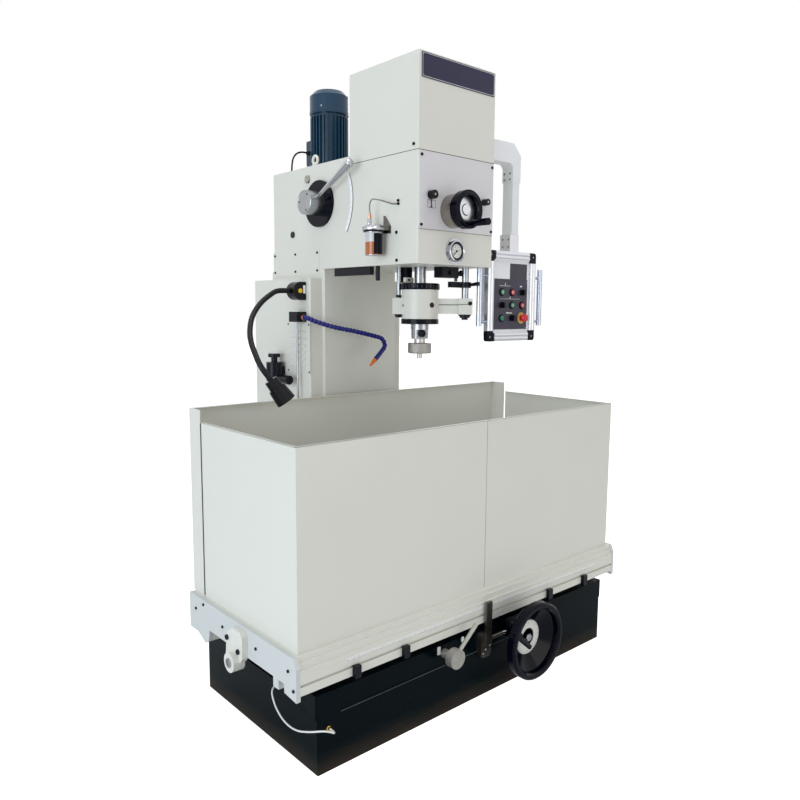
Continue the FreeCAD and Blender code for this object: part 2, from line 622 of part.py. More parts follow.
end_plates = []
for side in (-1, 1):
    plate = Casting("end", False)
    sk = plate.sketch("YZ_Plane", "%d * (table_half_length + end_plate / 2)" % side)
    plate.polygon(sk, [("table_front", "end_corner_bottom"), ("apron_inner", "end_corner_bottom + 8"),
                       ("apron_inner", "table_bottom"), ("gib_front", "table_bottom"),
                       ("gib_front", "gib_bottom"), ("gib_rear", "gib_bottom"), ("gib_rear", "table_bottom"),
                       ("rear_rib_front", "table_bottom"), ("rear_rib_front + 8", "rear_rib_tip_z + 17"),
                       ("rear_rib_tip", "rear_rib_tip_z"), ("rear_rib_tip + 60", "rear_skirt_bottom"),
                       ("table_rear", "rear_skirt_bottom"), ("table_rear", "table_top"),
                       ("table_front + ledge_depth * 2", "table_top"),
                       ("table_front", "ledge_two + 10")])
    plate.pad(sk, "end_plate", midplane=True)
    end_plates.append(plate.body)
group(end_plates, "table_end_plates")

# Stops hooked in the slot of the apron
stops = []
for x in ("-643", "-426", "386", "635"):
    stops.append(block("%s - stop_width / 2" % x, "%s + stop_width / 2" % x, "table_front - stop_depth",
                       "table_front", "stop_bottom", "slot_top - 2"))
group(stops, "table_stops")

# Bracket on the left end of the table, with a round boss
bracket = Casting("end_bracket")
bracket_x = "-table_half_length - end_plate"
sk = bracket.sketch("YZ_Plane", bracket_x)
bracket.polygon(sk, [("bracket_rear", "boss_z"), ("bracket_rear - 8", "bracket_top - 30"),
                     ("boss_y + 10", "bracket_top"), ("bracket_front + 14", "bracket_top"),
                     ("bracket_front", "bracket_top - 14"), ("bracket_front", "bracket_low + 8"),
                     ("bracket_front + 14", "bracket_low - 8"), ("boss_y", "boss_z")])
bracket.pad(sk, "bracket_thickness", backwards=True)
sk = bracket.sketch("YZ_Plane", bracket_x)
bracket.circle(sk, "boss_y", "boss_z", "boss_radius")
bracket.pad(sk, "boss_length", backwards=True)

# Tray: sheet walls on the table, a higher wall at the back with folded ends
tray = Casting("tray_walls")
sk = tray.sketch("XY_Plane", "tray_bottom")
tray.polygon(sk, [("-tray_half_length", "tray_front"), ("tray_half_length", "tray_front"),
                  ("tray_half_length", "tray_side_rear"), ("tray_half_length - tray_sheet", "tray_side_rear"),
                  ("tray_half_length - tray_sheet", "tray_front + tray_sheet"),
                  ("-tray_half_length + tray_sheet", "tray_front + tray_sheet"),
                  ("-tray_half_length + tray_sheet", "tray_side_rear"), ("-tray_half_length", "tray_side_rear")])
tray.pad(sk, "tray_top - tray_bottom")

back = Casting("tray_back_wall")
sk = back.sketch("XY_Plane", "tray_bottom")
back.polygon(sk, [("-tray_half_length", "back_wall"), ("-tray_half_length", "back_wall - back_return"),
                  ("-tray_half_length + tray_sheet", "back_wall - back_return"),
                  ("-tray_half_length + tray_sheet", "back_wall - tray_sheet"),
                  ("tray_half_length - tray_sheet", "back_wall - tray_sheet"),
                  ("tray_half_length - tray_sheet", "back_wall - back_return"),
                  ("tray_half_length", "back_wall - back_return"), ("tray_half_length", "back_wall")])
back.pad(sk, "back_wall_top - tray_bottom")
sk = back.sketch("XY_Plane", "back_wall_top - tray_sheet")
back.rectangle(sk, "-tray_half_length", "tray_half_length", "back_wall - back_rim", "back_wall")
back.pad(sk, "tray_sheet")

# Spindle: splined shaft, forked nose and the knurled driver with its spigot
shaft = Casting("spline_shaft")
sk = shaft.sketch("XY_Plane", "nose_top")
shaft.circle(sk, "0", "0", "spline_radius")
shaft.pad(sk, "shaft_top - nose_top")
sk = shaft.sketch("XY_Plane", "top_band_top + 2")
shaft.rectangle(sk, "spline_root", "spline_radius + 3", "-spline_width / 2", "spline_width / 2")
groove = shaft.pocket(sk, "shaft_top - top_band_top", backwards=True)
shaft.repeat(groove, 8)

nose = Casting("spindle_nose")
sk = nose.sketch("XY_Plane", "nose_bottom")
nose.circle(sk, "0", "0", "nose_radius")
nose.pad(sk, "nose_top - nose_bottom")
sk = nose.sketch("YZ_Plane")
nose.rectangle(sk, "-nose_radius - 1", "-nose_slot / 2", "nose_bottom - 1", "nose_bottom + 38")
nose.rectangle(sk, "nose_slot / 2", "nose_radius + 1", "nose_bottom - 1", "nose_bottom + 38")
nose.pocket(sk, "nose_radius * 3", midplane=True)
sk = nose.sketch("XZ_Plane")
nose.circle(sk, "0", "nose_bottom + 22", "pin_radius")
nose.pad(sk, "nose_slot + 16", midplane=True)

chuck = Casting("hone_driver")
sk = chuck.sketch("XZ_Plane")
chuck.polygon(sk, [("0", "tip_bottom"), ("tip_radius", "tip_bottom"), ("tip_radius", "disc_bottom"),
                   ("disc_radius - 3", "disc_bottom"), ("disc_radius", "disc_bottom + 3"),
                   ("disc_radius", "neck_bottom - 3"), ("disc_radius - 3", "neck_bottom"),
                   ("driver_neck_radius", "neck_bottom"), ("driver_neck_radius", "nose_bottom"), ("0", "nose_bottom")])
chuck.turned(sk)

# Spindle carriage: bearing body with its two arms, all one casting
ARM = FreeCAD.Rotation(V(0, 0, 1), size("arm_angle"))
carriage = Casting("spindle_carriage")
sk = carriage.sketch("XY_Plane", "arm_bottom")
carriage.rectangle(sk, "30", "rod_offset", "-arm_width / 2", "arm_width / 2")
carriage.pad(sk, "arm_top - arm_bottom")
sk = carriage.sketch("XY_Plane", "block_bottom")
carriage.rectangle(sk, "rod_offset - arm_block / 2", "rod_offset + arm_block / 2", "-arm_block / 2", "arm_block / 2")
carriage.pad(sk, "block_top - block_bottom")
sk = carriage.sketch("XY_Plane", "block_bottom")
carriage.rectangle(sk, "-piston_offset - bracket_half", "-20", "-bracket_half", "bracket_half")
carriage.pad(sk, "block_top - block_bottom")
sk = carriage.sketch("XY_Plane", "quill_bottom")
carriage.circle(sk, "0", "0", "quill_radius")
carriage.pad(sk, "quill_top - quill_bottom")
sk = carriage.sketch("XY_Plane", "bottom_band_bottom")
carriage.circle(sk, "0", "0", "spline_radius + running_fit")
carriage.circle(sk, "rod_offset", "0", "reversing_rod_radius")
carriage.circle(sk, "-piston_offset", "0", "piston_rod_radius")
carriage.pocket(sk, "quill_top - bottom_band_bottom + 1", backwards=True)
carriage.body.Placement = FreeCAD.Placement(V(0, 0, 0), ARM)

bands = []
for low, high in (("bottom_band_bottom", "quill_bottom"), ("quill_top", "top_band_top")):
    bands.append(cut(rod("z", "0", "0", low, "%s - %s" % (high, low), "band_radius"),
                     rod("z", "0", "0", "%s - 1" % low, "%s - %s + 2" % (high, low), "spline_radius + running_fit")))
group(bands, "carriage_bands")
rod_x = "rod_offset * cos(arm_angle * 1 deg)"
rod_y = "rod_offset * sin(arm_angle * 1 deg)"
piston_x = "-piston_offset * cos(arm_angle * 1 deg)"
piston_y = "-piston_offset * sin(arm_angle * 1 deg)"
group([join([rod("z", rod_x, rod_y, "block_bottom - 8", "rods_top - block_bottom + 8", "reversing_rod_radius"),
             rod("z", rod_x, rod_y, "block_bottom - 12", "12", "20"),
             rod("z", rod_x, rod_y, "block_bottom - 20", "8", "9")]),
       join([rod("z", piston_x, piston_y, "block_bottom", "rods_top - block_bottom", "piston_rod_radius"),
             rod("z", piston_x, piston_y, "block_bottom - 9", "9", "11.5")])], "carriage_rods")

# Stop dog: a clamp bar on the reversing rod, with its clamp lever
dog = join([block("50", "%s + 18" % rod_x, "%s - 9" % rod_y, "%s + 9" % rod_y, "dog_bottom", "dog_top"),
            rod("z", rod_x, rod_y, "dog_bottom", "dog_top - dog_bottom", "dog_ring"),
            rod(FreeCAD.Rotation(V(0, 0, 1), V(0.06, -1, 0.1)), "%s + 2" % rod_x, "%s - dog_ring + 4" % rod_y,
                "dog_bottom + 11", "dog_lever_length", "6", "8")])
cut(dog, rod("z", rod_x, rod_y, "dog_bottom - 1", "dog_top - dog_bottom + 2", "reversing_rod_radius"), "stop_dog")

# Under the head: reversing valve with its trip lever, limit switch block, rail and peg
group([join([block("20", "110", "-110", "-60", "1636", "head_bottom"),
             rod("x", "108", "-84", "1650", "62", "5"), rod("y", "66", "-118", "1656", "10", "9")]),
       join([block("-52", "-10", "38", "74", "1616", "head_bottom")]),
       join([block("-190", "-170", "90", "330", "1645", "head_bottom")]),
       join([rod("z", "-178", "56", "1621", "head_bottom - 1621", "9")])], "underside_fittings")

# Table handwheel: dished web, deep rim, shaft into the bed; a grip folded into the dish
wheel = Casting("wheel", False)
wheel.body.Placement = FreeCAD.Placement(V(0, 0, 0), FreeCAD.Rotation(V(1, 0, 0), 90))
wheel.place("table_wheel_x", "table_wheel_web", "table_wheel_z")
sk = wheel.sketch("XZ_Plane")
wheel.polygon(sk, [("0", "table_wheel_web - base_front + joint_gap"),
                   ("table_hub_radius", "table_wheel_web - base_front + joint_gap"),
                   ("table_hub_radius", "-6"), ("74", "-6"), ("table_wheel_radius - rim_width + 4", "26"),
                   ("table_wheel_radius - 7", "26"), ("table_wheel_radius", "33"),
                   ("table_wheel_radius", "table_wheel_depth - 7"), ("table_wheel_radius - 7", "table_wheel_depth"),
                   ("table_wheel_radius - rim_width + 7", "table_wheel_depth"),
                   ("table_wheel_radius - rim_width", "table_wheel_depth - 7"),
                   ("table_wheel_radius - rim_width", "38"), ("72", "web_thickness"), ("0", "web_thickness")])
wheel.turned(sk)
wheel.edges(lambda p, e: near(p.z, size("table_wheel_depth")) or near(p.z, 26), "fold_grip_radius / 4", "Fillet")
GRIP = (V(79, 0, -71)).normalize()
join([wheel.body,
      rod(FreeCAD.Rotation(V(0, 0, 1), GRIP), "30", "-527", "285", "106", "fold_grip_radius", "fold_grip_radius - 2"),
      rod("y", "33", "-541", "282", "34", "15")], "table_handwheel")

# Table clamp: hub with its lever
clamp_turn = FreeCAD.Rotation(V(0, 0, 1), V(110, 0, 97))
join([rod("y", "clamp_x", "clamp_front", "clamp_z", "clamp_hub", "clamp_radius"),
      rod("y", "clamp_x", "clamp_front + 4", "clamp_z", "base_front - joint_gap - clamp_front - 4", "clamp_stem"),
      rod(clamp_turn, "clamp_x", "clamp_front + 17", "clamp_z", "clamp_handle_length", "clamp_handle_root",
          "clamp_handle_tip")], "table_clamp_lever")

# Index bracket on the bed: plate, upright arm that the table stops meet, and a rod
plate = Casting("plate", False)
plate.place("0", "base_front - index_depth / 2", "0")
sk = plate.sketch("XZ_Plane")
plate.rectangle(sk, "index_left", "index_right", "index_bottom", "index_top")
plate.pad(sk, "index_depth", midplane=True)
plate.edges(lambda p, e: near(abs(e.tangentAt(e.FirstParameter).y), 1, 0.01), "index_round", "Fillet")
join([plate.body,
      block("index_arm_left", "index_arm_right", "index_arm_front", "base_front - 5", "index_top - 50",
            "index_top - index_round"),
      block("index_arm_left", "index_arm_right", "index_arm_front", "index_arm_rear", "index_top - 50",
            "index_arm_top"),
      rod("x", "index_right - 4", "base_front - 22", "238", "89", "index_rod_radius"),
      block("index_right - 22", "index_right", "base_front - 31", "base_front - 5", "226", "250")],
     "index_bracket")

# Arm that carries the pendant, turned down by an elbow
arm = Casting("pendant_arm")
arm.place("pendant_x", "pendant_y", "0")
sk = arm.sketch("XZ_Plane")
arm.rectangle(sk, "-tube_width / 2", "tube_width / 2", "coupling_top + swivel_gap", "elbow_bottom + 5")
arm.pad(sk, "tube_depth", midplane=True)
sk = arm.sketch("XZ_Plane")
arm.polygon(sk, [("-tube_width / 2 - 3", "elbow_bottom"), ("tube_width / 2 + 3", "elbow_bottom"),
                 ("tube_width / 2 + 3", "arm_top_z - elbow_bevel"), ("tube_width / 2 + 3 - elbow_bevel", "arm_top_z"),
                 ("head_half_width - pendant_x", "arm_top_z"), ("head_half_width - pendant_x", "arm_underside"),
                 ("-tube_width / 2 - 3 - elbow_bevel / 3", "arm_underside"),
                 ("-tube_width / 2 - 3", "arm_underside - elbow_bevel / 3")])
arm.pad(sk, "tube_depth + 6", midplane=True)
sk = arm.sketch("XY_Plane", "coupling_top")
arm.circle(sk, "0", "0", "swivel_radius + running_fit")
arm.pocket(sk, "pin_length + 1", backwards=True)

# Pendant: square profiles between corner pieces, a box with its dark panel, handles
low = "pendant_bottom"
high = "pendant_top"
left = "pendant_left"
right = "pendant_right"


def frame_block(x0, x1, z0, z1):
    return block(x0, x1, "pendant_front", "pendant_rear", z0, z1)


group([join([frame_block("pendant_left + corner", "pendant_right - corner", "pendant_top - profile", high),
             rod("z", "pendant_x", "pendant_y", "coupling_top - 1", "pin_length + 1", "swivel_radius"),
             block("pendant_x - tube_width / 2 - coupling", "pendant_x + tube_width / 2 + coupling",
                   "pendant_y - tube_depth / 2 + 1", "pendant_y + tube_depth / 2 + 4", high, "coupling_top")]),
       frame_block("pendant_left + corner", "pendant_right - corner", low, "pendant_bottom + profile"),
       frame_block(left, "pendant_left + profile", "pendant_bottom + corner", "pendant_top - corner"),
       frame_block("pendant_right - profile", right, "pendant_bottom + corner", "pendant_top - corner")],
      "pendant_frame")
corners = []
for side in (-1, 1):
    for level in (-1, 1):
        edge_x = "pendant_right" if side > 0 else "pendant_left"
        edge_z = "pendant_top" if level > 0 else "pendant_bottom"
        over_x, over_z = ("%s - %d * " % (edge_x, side)) + "%s", ("%s - %d * " % (edge_z, level)) + "%s"
        piece = Casting("corner", False)
        piece.place("0", "(pendant_front + pendant_rear) / 2", "0")
        sk = piece.sketch("XZ_Plane")
        piece.polygon(sk, [(edge_x, edge_z), (over_x % "corner", edge_z), (over_x % "corner", over_z % "profile"),
                           (over_x % "profile", over_z % "profile"), (over_x % "profile", over_z % "corner"),
                           (edge_x, over_z % "corner")])
        piece.pad(sk, "pendant_rear - pendant_front", midplane=True)
        doc.recompute()
        box = piece.body.Shape.BoundBox
        outer_x = box.XMax if side > 0 else box.XMin
        outer_z = box.ZMax if level > 0 else box.ZMin
        piece.edges(lambda p, e: near(p.x, outer_x) and near(p.z, outer_z), "corner_round", "Fillet")
        corners.append(piece.body)
group(corners, "pendant_corners")
handles = []
for handle_x, reach in (("pendant_left - handle_offset", left), ("pendant_right", "pendant_right + handle_offset")):
    bar_x = "pendant_left - handle_offset" if reach == left else "pendant_right + handle_offset"
    pieces = [rod("z", bar_x, "handle_y", "handle_bottom", "handle_top - handle_bottom", "handle_radius")]
    for z in ("handle_bottom + 18", "handle_top - 18"):
        pieces.append(rod("x", handle_x, "handle_y + 3", z, "handle_offset", "handle_radius - 5"))
    handles.append(join(pieces))
group(handles, "pendant_handles")


def control_place(column, row):
    return ("control_first_x + control_pitch_x * %d" % column, "control_top_z - control_pitch_z * %d" % row)


PANEL = "pendant_front + panel_recess"
bores = []
for column in range(3):
    for row in range(3):
        x, z = control_place(column, row)
        bores.append(rod("y", x, PANEL + " - 3", z, "button_sunk + button_travel + 4",
                         "button_radius + control_gap"))
bores = join(bores)
cut(join([block("pendant_left + profile", "pendant_right - profile", PANEL, "pendant_rear",
                "pendant_bottom + profile", "pendant_top - profile"),
          block("housing_left", "housing_right", "pendant_rear", "housing_rear", "housing_bottom",
                "pendant_top")]), bores, "pendant_box")
cut(block("pendant_left + profile", "pendant_right - profile - dark_panel_inset", PANEL + " - dark_panel_thickness", PANEL, "dark_panel_bottom",
          "dark_panel_top"), bores, "pendant_panel")


def button(column, row, label):
    """A push button that slides into its bore."""
    x, z = control_place(column, row)
    join([rod("y", x, PANEL + " - dark_panel_thickness - button_proud", z,
              "button_proud + dark_panel_thickness + button_sunk - 3", "button_radius")], label)


def selector(column, row, label):
    """A turning switch: a round knob with a grip bar across it."""
    x, z = control_place(column, row)
    face = PANEL + " - dark_panel_thickness"
    join([rod("y", x, face + " - 8", z, "8 - joint_gap", "selector_radius"),
          rod("y", x, face + " - 2", z, "button_sunk", "button_radius"),
          block("%s - 4.5" % x, "%s + 4.5" % x, face + " - 20", face + " - 7", "%s - 12" % z, "%s + 12" % z)], label)


button(0, 0, "start_button")
button(1, 0, "halt_button")
selector(2, 0, "coolant_selector")
selector(0, 1, "mode_selector")
button(1, 1, "rise_button")
button(2, 1, "lower_button")
button(0, 2, "lamp_button")
selector(1, 2, "spindle_selector")
x, z = control_place(2, 2)
join([rod("y", x, PANEL + " - dark_panel_thickness - 28", z, "12", "stop_radius - 4", "stop_radius"),
      rod("y", x, PANEL + " - dark_panel_thickness - 17", z, "19", "stop_stem")], "stop_button")

# Lamp on the left cabinet: base, bent neck and shade
lamp_body = join([rod("x", "neck_start_x", "452", "lamp_base_z", "lamp_base_x - neck_start_x", "neck_radius + 3"),
                  rod("y", "lamp_base_x", "lamp_base_front", "lamp_base_z", "lamp_base_rear - lamp_base_front",
                      "lamp_base_radius"),
                  block("lamp_base_x", "cabinet_left", "lamp_base_front", "lamp_base_rear",
                        "lamp_base_z - lamp_base_radius", "lamp_base_z + lamp_base_radius")])
cut(lamp_body, block("cabinet_left", "cabinet_left + lamp_base_radius", "lamp_base_front - 1", "lamp_base_rear + 1",
                     "lamp_base_z - lamp_base_radius", "lamp_base_z + lamp_base_radius"), "lamp_base")
cord([(-338, 452, 1583.5), (-402, 452, 1583.5), (-494, 424, 1534), (-568, 376, 1470), (-615, 308, 1390),
      (-623.1, 220.1, 1294.1), (-588, 200, 1237)], "neck_radius", "lamp_neck")
shade_turn = FreeCAD.Rotation(V(0, 0, 1), V(35.1, -20.1, -57.1))
shade = shade_turn.multVec(V(0, 0, size("lamp_cap_length") - 2))
join([rod(shade_turn, "-588", "200", "1237", "lamp_cap_length", "lamp_cap - 2", "lamp_cap"),
      rod(shade_turn, "-588 + %.3f" % shade.x, "200 + %.3f" % shade.y, "1237 + %.3f" % shade.z, "shade_length",
          "shade_rear", "shade_front")], "lamp_head")

# Coolant: black block with the pipe from below, jointed hose and nozzle
join([block("coolant_left", "cabinet_left", "coolant_front", "coolant_rear", "coolant_bottom", "coolant_top")],
     "coolant_block")
join([rod("z", "pipe_x", "pipe_y", "pipe_low", "coolant_bottom - pipe_low", "pipe_radius"),
      ball("pipe_x", "pipe_y", "pipe_low", "pipe_radius"),
      rod("x", "pipe_x", "pipe_y", "pipe_low", "cabinet_left - pipe_x", "pipe_radius")], "coolant_pipe")
cord([(-290, 425, 1471), (-290, 396, 1471), (-258, 366, 1453), (-190, 334, 1430), (-110, 308, 1415),
      (-35, 291, 1398), (34, 279, 1381), (46, 272, 1346), (-4, 258, 1309), (-35, 248, 1289)],
     "hose_radius", "coolant_hose")
nozzle_turn = FreeCAD.Rotation(V(0, 0, 1), V(-31, -10, -20))
join([rod(nozzle_turn, "-35", "248", "1289", "42", "hose_radius", "4.5")], "coolant_nozzle")

# Air regulator
join([rod("z", "regulator_x", "regulator_y", "1186", "84", "36"),
      rod("z", "regulator_x", "regulator_y", "1268", "24", "14"),
      rod("z", "regulator_x", "regulator_y", "1292", "16", "27"),
      rod("y", "regulator_x", "500", "1197", "100", "20"),
      block("-300", "cabinet_left", "600", "645", "1215", "1250")], "air_regulator")

# Lubrication tube round the front left corner of the bed
cord([(-795, -172, 236), (-830, -172, 236), (-841, -206, 196), (-838, -256, 155), (-831, -320, 144),
      (-820, -392, 168), (-785, -432, 178), (-750, -442, 157), (-750, -402, 157)], "oil_tube_radius", "oil_tube")
doc.recompute()
bad = []
for item in doc.Objects:
    if "Invalid" in item.State or "Error" in item.State:
        bad.append(item.Name)
for item in NODES:
    shape = item.Shape
    if not shape.isValid() or not shape.Solids:
        bad.append(item.Label)
if bad:
    raise RuntimeError("not sound: " + ", ".join(bad))
for item in NODES:
    item.Shape.exportStep("parts/%s.step" % item.Label)
    box = item.Shape.BoundBox
    print("%-22s solids %d  volume %.1f cm3  x %.0f..%.0f y %.0f..%.0f z %.0f..%.0f" % (
        item.Label, len(item.Shape.Solids), item.Shape.Volume / 1000,
        box.XMin, box.XMax, box.YMin, box.YMax, box.ZMin, box.ZMax))
print("nodes", len(NODES))
for label, section_radius, bend_radius in CORD_NOTES:
    print("cord %-14s radius %.1f mm, tightest bend %.0f mm" % (label, section_radius, bend_radius))
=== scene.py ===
"""Looks of the vertical cylinder honing machine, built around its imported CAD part."""
import math

import bmesh
import bpy
import numpy as np
from mathutils import Matrix, Vector


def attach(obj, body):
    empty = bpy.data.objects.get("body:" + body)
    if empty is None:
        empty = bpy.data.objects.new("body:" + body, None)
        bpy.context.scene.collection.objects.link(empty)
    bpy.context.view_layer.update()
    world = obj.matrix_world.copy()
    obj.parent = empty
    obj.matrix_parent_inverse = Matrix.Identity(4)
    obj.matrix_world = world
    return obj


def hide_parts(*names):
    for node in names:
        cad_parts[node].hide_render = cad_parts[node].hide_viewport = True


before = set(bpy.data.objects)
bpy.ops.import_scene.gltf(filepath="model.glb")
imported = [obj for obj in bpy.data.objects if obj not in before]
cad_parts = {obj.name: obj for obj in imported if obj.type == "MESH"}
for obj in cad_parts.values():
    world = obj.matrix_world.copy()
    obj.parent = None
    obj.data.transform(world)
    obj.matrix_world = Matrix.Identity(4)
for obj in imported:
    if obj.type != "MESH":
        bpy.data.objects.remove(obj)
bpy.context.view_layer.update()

# Directions in the part's frame
X = (1, 0, 0)
Y = (0, 1, 0)
Z = (0, 0, 1)
LEFT = (-1, 0, 0)
FRONT = (0, -1, 0)


# Shader maths
class Wire:
    """One output of a node tree that adds, multiplies and compares like a number."""

    def __init__(self, shade, socket):
        self.shade = shade
        self.socket = socket

    def maths(self, operation, a, b=None):
        inputs = {0: a} if b is None else {0: a, 1: b}
        return self.shade.put("Math", inputs, operation=operation)

    def __add__(self, other):
        return self.maths("ADD", self, other)

    __radd__ = __add__

    def __sub__(self, other):
        return self.maths("SUBTRACT", self, other)

    def __rsub__(self, other):
        return self.maths("SUBTRACT", other, self)

    def __mul__(self, other):
        return self.maths("MULTIPLY", self, other)

    __rmul__ = __mul__

    def __truediv__(self, other):
        return self.maths("DIVIDE", self, other)

    def __gt__(self, other):
        return self.maths("GREATER_THAN", self, other)

    def __lt__(self, other):
        return self.maths("LESS_THAN", self, other)

    def wave(self):
        return self.maths("SINE", self)

    def size(self):
        return self.maths("ABSOLUTE", self)

    def power(self, other):
        return self.maths("POWER", self, other)

    def clamp(self):
        return self.shade.put("Clamp", {"Value": self})


class Shade:
    """A material with one principled shader and the nodes that feed it."""

    def __init__(self, name, **plain):
        self.material = bpy.data.materials.new(name)
        self.material.use_nodes = True
        self.tree = self.material.node_tree
        self.tree.nodes.clear()
        self.shader = self.tree.nodes.new("ShaderNodeBsdfPrincipled")
        output = self.tree.nodes.new("ShaderNodeOutputMaterial")
        self.tree.links.new(self.shader.outputs[0], output.inputs[0])
        self.set(**plain)

    def put(self, kind, inputs=(), out=0, **settings):
        node = self.tree.nodes.new("ShaderNode" + kind)
        for key, value in settings.items():
            setattr(node, key, value)
        for key, value in dict(inputs).items():
            self.feed(node.inputs[key], value)
        return Wire(self, node.outputs[out])

    def feed(self, socket, value):
        if isinstance(value, Wire):
            self.tree.links.new(value.socket, socket)
        else:
            socket.default_value = value

    def set(self, **inputs):
        for key, value in inputs.items():
            self.feed(self.shader.inputs[key.replace("_", " ")], value)

    def place(self):
        return self.put("TexCoord", out=3)

    def split(self):
        """The x, y and z of the Object coordinates."""
        node = self.tree.nodes.new("ShaderNodeSeparateXYZ")
        self.tree.links.new(self.place().socket, node.inputs[0])
        return [Wire(self, node.outputs[k]) for k in range(3)]

    def noise(self, scale, detail=3.0, stretch=(1, 1, 1), rough=0.5):
        spot = self.put("VectorMath", {0: self.place(), 1: stretch}, operation="MULTIPLY")
        return self.put("TexNoise", {"Vector": spot, "Scale": scale, "Detail": detail,
                                     "Roughness": rough})

    def mix(self, share, first, second):
        node = self.tree.nodes.new("ShaderNodeMix")
        node.data_type = "RGBA"
        for index, value in ((0, share), (6, first), (7, second)):
            self.feed(node.inputs[index], value)
        return Wire(self, node.outputs[2])

    def bump(self, height, strength, distance=0.001):
        made = self.put("Bump", {"Height": height, "Strength": strength, "Distance": distance})
        self.set(Normal=made)


def tone(red, green, blue):
    """A linear colour from the three values a screen shows, 0 to 255."""
    return tuple((value / 255) ** 2.2 for value in (red, green, blue)) + (1,)


def paint(name, colour, dark, roughness, coat=0.0, peel=0.12, peel_scale=420.0, gloss=0.5):
    """Sprayed paint: fine orange peel, slow changes of tone and gloss, faint handling marks."""
    shade = Shade(name, Coat_Weight=coat, Coat_Roughness=0.08, Specular_IOR_Level=gloss)
    cloud = shade.noise(3.0, 4.0)
    marks = shade.noise(38.0, 5.0, (1, 1, 0.25), 0.65)
    rubbed = (marks - 0.62) * 5.0
    shade.set(Base_Color=shade.mix((cloud - 0.35).clamp() * 0.5 + rubbed.clamp() * 0.12, colour, dark))
    shade.set(Roughness=roughness + (cloud - 0.5) * 0.10 + rubbed.clamp() * 0.06)
    shade.bump(shade.noise(peel_scale, 2.0), peel, 0.0006)
    return shade.material


def metal(name, colour, dark, roughness, stretch, scale, strength, metallic=1.0):
    """Cut or drawn metal with fine lines along one direction and dull patches."""
    shade = Shade(name, Metallic=metallic)
    lines = shade.noise(scale, 4.0, stretch)
    patches = shade.noise(14.0, 4.0)
    shade.set(Base_Color=shade.mix((lines * 0.7 + patches * 0.5 - 0.3).clamp(), colour, dark))
    shade.set(Roughness=roughness + (lines - 0.5) * 0.22 + (patches - 0.5) * 0.14)
    shade.bump(lines, strength, 0.0004)
    return shade.material


def plastic(name, colour, dark, roughness, grain, strength, gloss=0.5):
    """Moulded plastic or rubber with a fine grain."""
    shade = Shade(name, Specular_IOR_Level=gloss)
    cloud = shade.noise(22.0, 3.0)
    shade.set(Base_Color=shade.mix((cloud - 0.3).clamp(), colour, dark))
    shade.set(Roughness=roughness + (cloud - 0.5) * 0.16)
    shade.bump(shade.noise(grain, 2.0), strength, 0.0005)
    return shade.material


CREAM = paint("cream_machine_paint", tone(224, 223, 214), tone(212, 210, 199), 0.34, 0.1, gloss=0.4)
PLATE_PAINT = paint("grey_plate_paint", tone(220, 217, 220), tone(208, 205, 209), 0.16, 0.35, 0.05)
END_PAINT = paint("grey_end_plate_paint", tone(206, 209, 208), tone(194, 197, 196), 0.36, 0.1, gloss=0.4)
ARM_PAINT = paint("pale_arm_paint", tone(238, 239, 241), tone(228, 230, 233), 0.34, 0.15)
MOTOR = paint("motor_blue_paint", tone(14, 58, 82), tone(8, 40, 60), 0.24, 0.15, 0.35, 300.0, 0.35)
BLACK_PAINT = paint("black_paint", tone(20, 22, 30), tone(13, 15, 22), 0.28, 0.0, 0.2, 300.0, 0.2)
STEEL = metal("ground_steel", tone(176, 178, 182), tone(124, 126, 131), 0.27, (1, 1, 12), 90.0, 0.12)
CHROME = metal("polished_chrome", tone(200, 202, 207), tone(158, 160, 166), 0.10, (6, 6, 1), 30.0, 0.05)
ALUMINIUM = metal("drawn_aluminium", tone(228, 229, 234), tone(206, 208, 214), 0.33, (14, 14, 1), 60.0, 0.08)
DARK_STEEL = metal("worn_dark_steel", tone(132, 128, 122), tone(84, 80, 75), 0.36, (1, 1, 3), 40.0, 0.12)
DRUM = metal("graduated_drum_steel", tone(170, 165, 156), tone(118, 112, 104), 0.22, (1, 10, 1), 60.0, 0.06)
SATIN = metal("satin_turned_steel", tone(178, 176, 170), tone(128, 122, 112), 0.42, (1, 8, 1), 60.0, 0.08,
              metallic=0.6)
BRASS = metal("brass", tone(214, 176, 96), tone(178, 140, 70), 0.24, (1, 12, 1), 80.0, 0.15)
COPPER = metal("copper_fitting", tone(190, 136, 110), tone(152, 104, 82), 0.28, (1, 12, 1), 80.0, 0.15)
HANDLE = metal("anodised_handle_tube", tone(190, 196, 210), tone(150, 157, 174), 0.24, (14, 14, 1), 60.0,
               0.05)
ENAMEL = plastic("black_handwheel_enamel", tone(9, 12, 24), tone(15, 18, 32), 0.14, 300.0, 0.05, 0.14)
BLACK = plastic("black_plastic", tone(17, 17, 21), tone(27, 27, 32), 0.32, 700.0, 0.25, 0.25)
RUBBER = plastic("black_cable_rubber", tone(18, 19, 22), tone(28, 29, 32), 0.45, 500.0, 0.35, 0.25)
PANEL = plastic("dark_panel_film", tone(58, 54, 70), tone(44, 41, 55), 0.42, 900.0, 0.2)
BLUE_PLATE = plastic("dark_blue_plate", tone(40, 38, 66), tone(32, 31, 56), 0.32, 600.0, 0.12, 0.35)
HOSE_BLUE = plastic("blue_hose_plastic", tone(16, 18, 118), tone(10, 11, 84), 0.24, 500.0, 0.12, 0.4)
ORANGE = plastic("orange_nozzle_plastic", tone(238, 120, 40), tone(214, 98, 26), 0.34, 500.0, 0.12)
WHITE = plastic("white_plastic", tone(236, 236, 232), tone(222, 222, 216), 0.38, 600.0, 0.12)
STRIP = plastic("white_scale_strip", tone(252, 253, 255), tone(244, 246, 250), 0.25, 600.0, 0.05)
# Black for print, seams and slits, and for the painted shade line under the front plate.
INK_AND_SHADE = plastic("printed_black_and_painted_shade", tone(30, 30, 32), tone(44, 44, 46), 0.5, 800.0, 0.05)
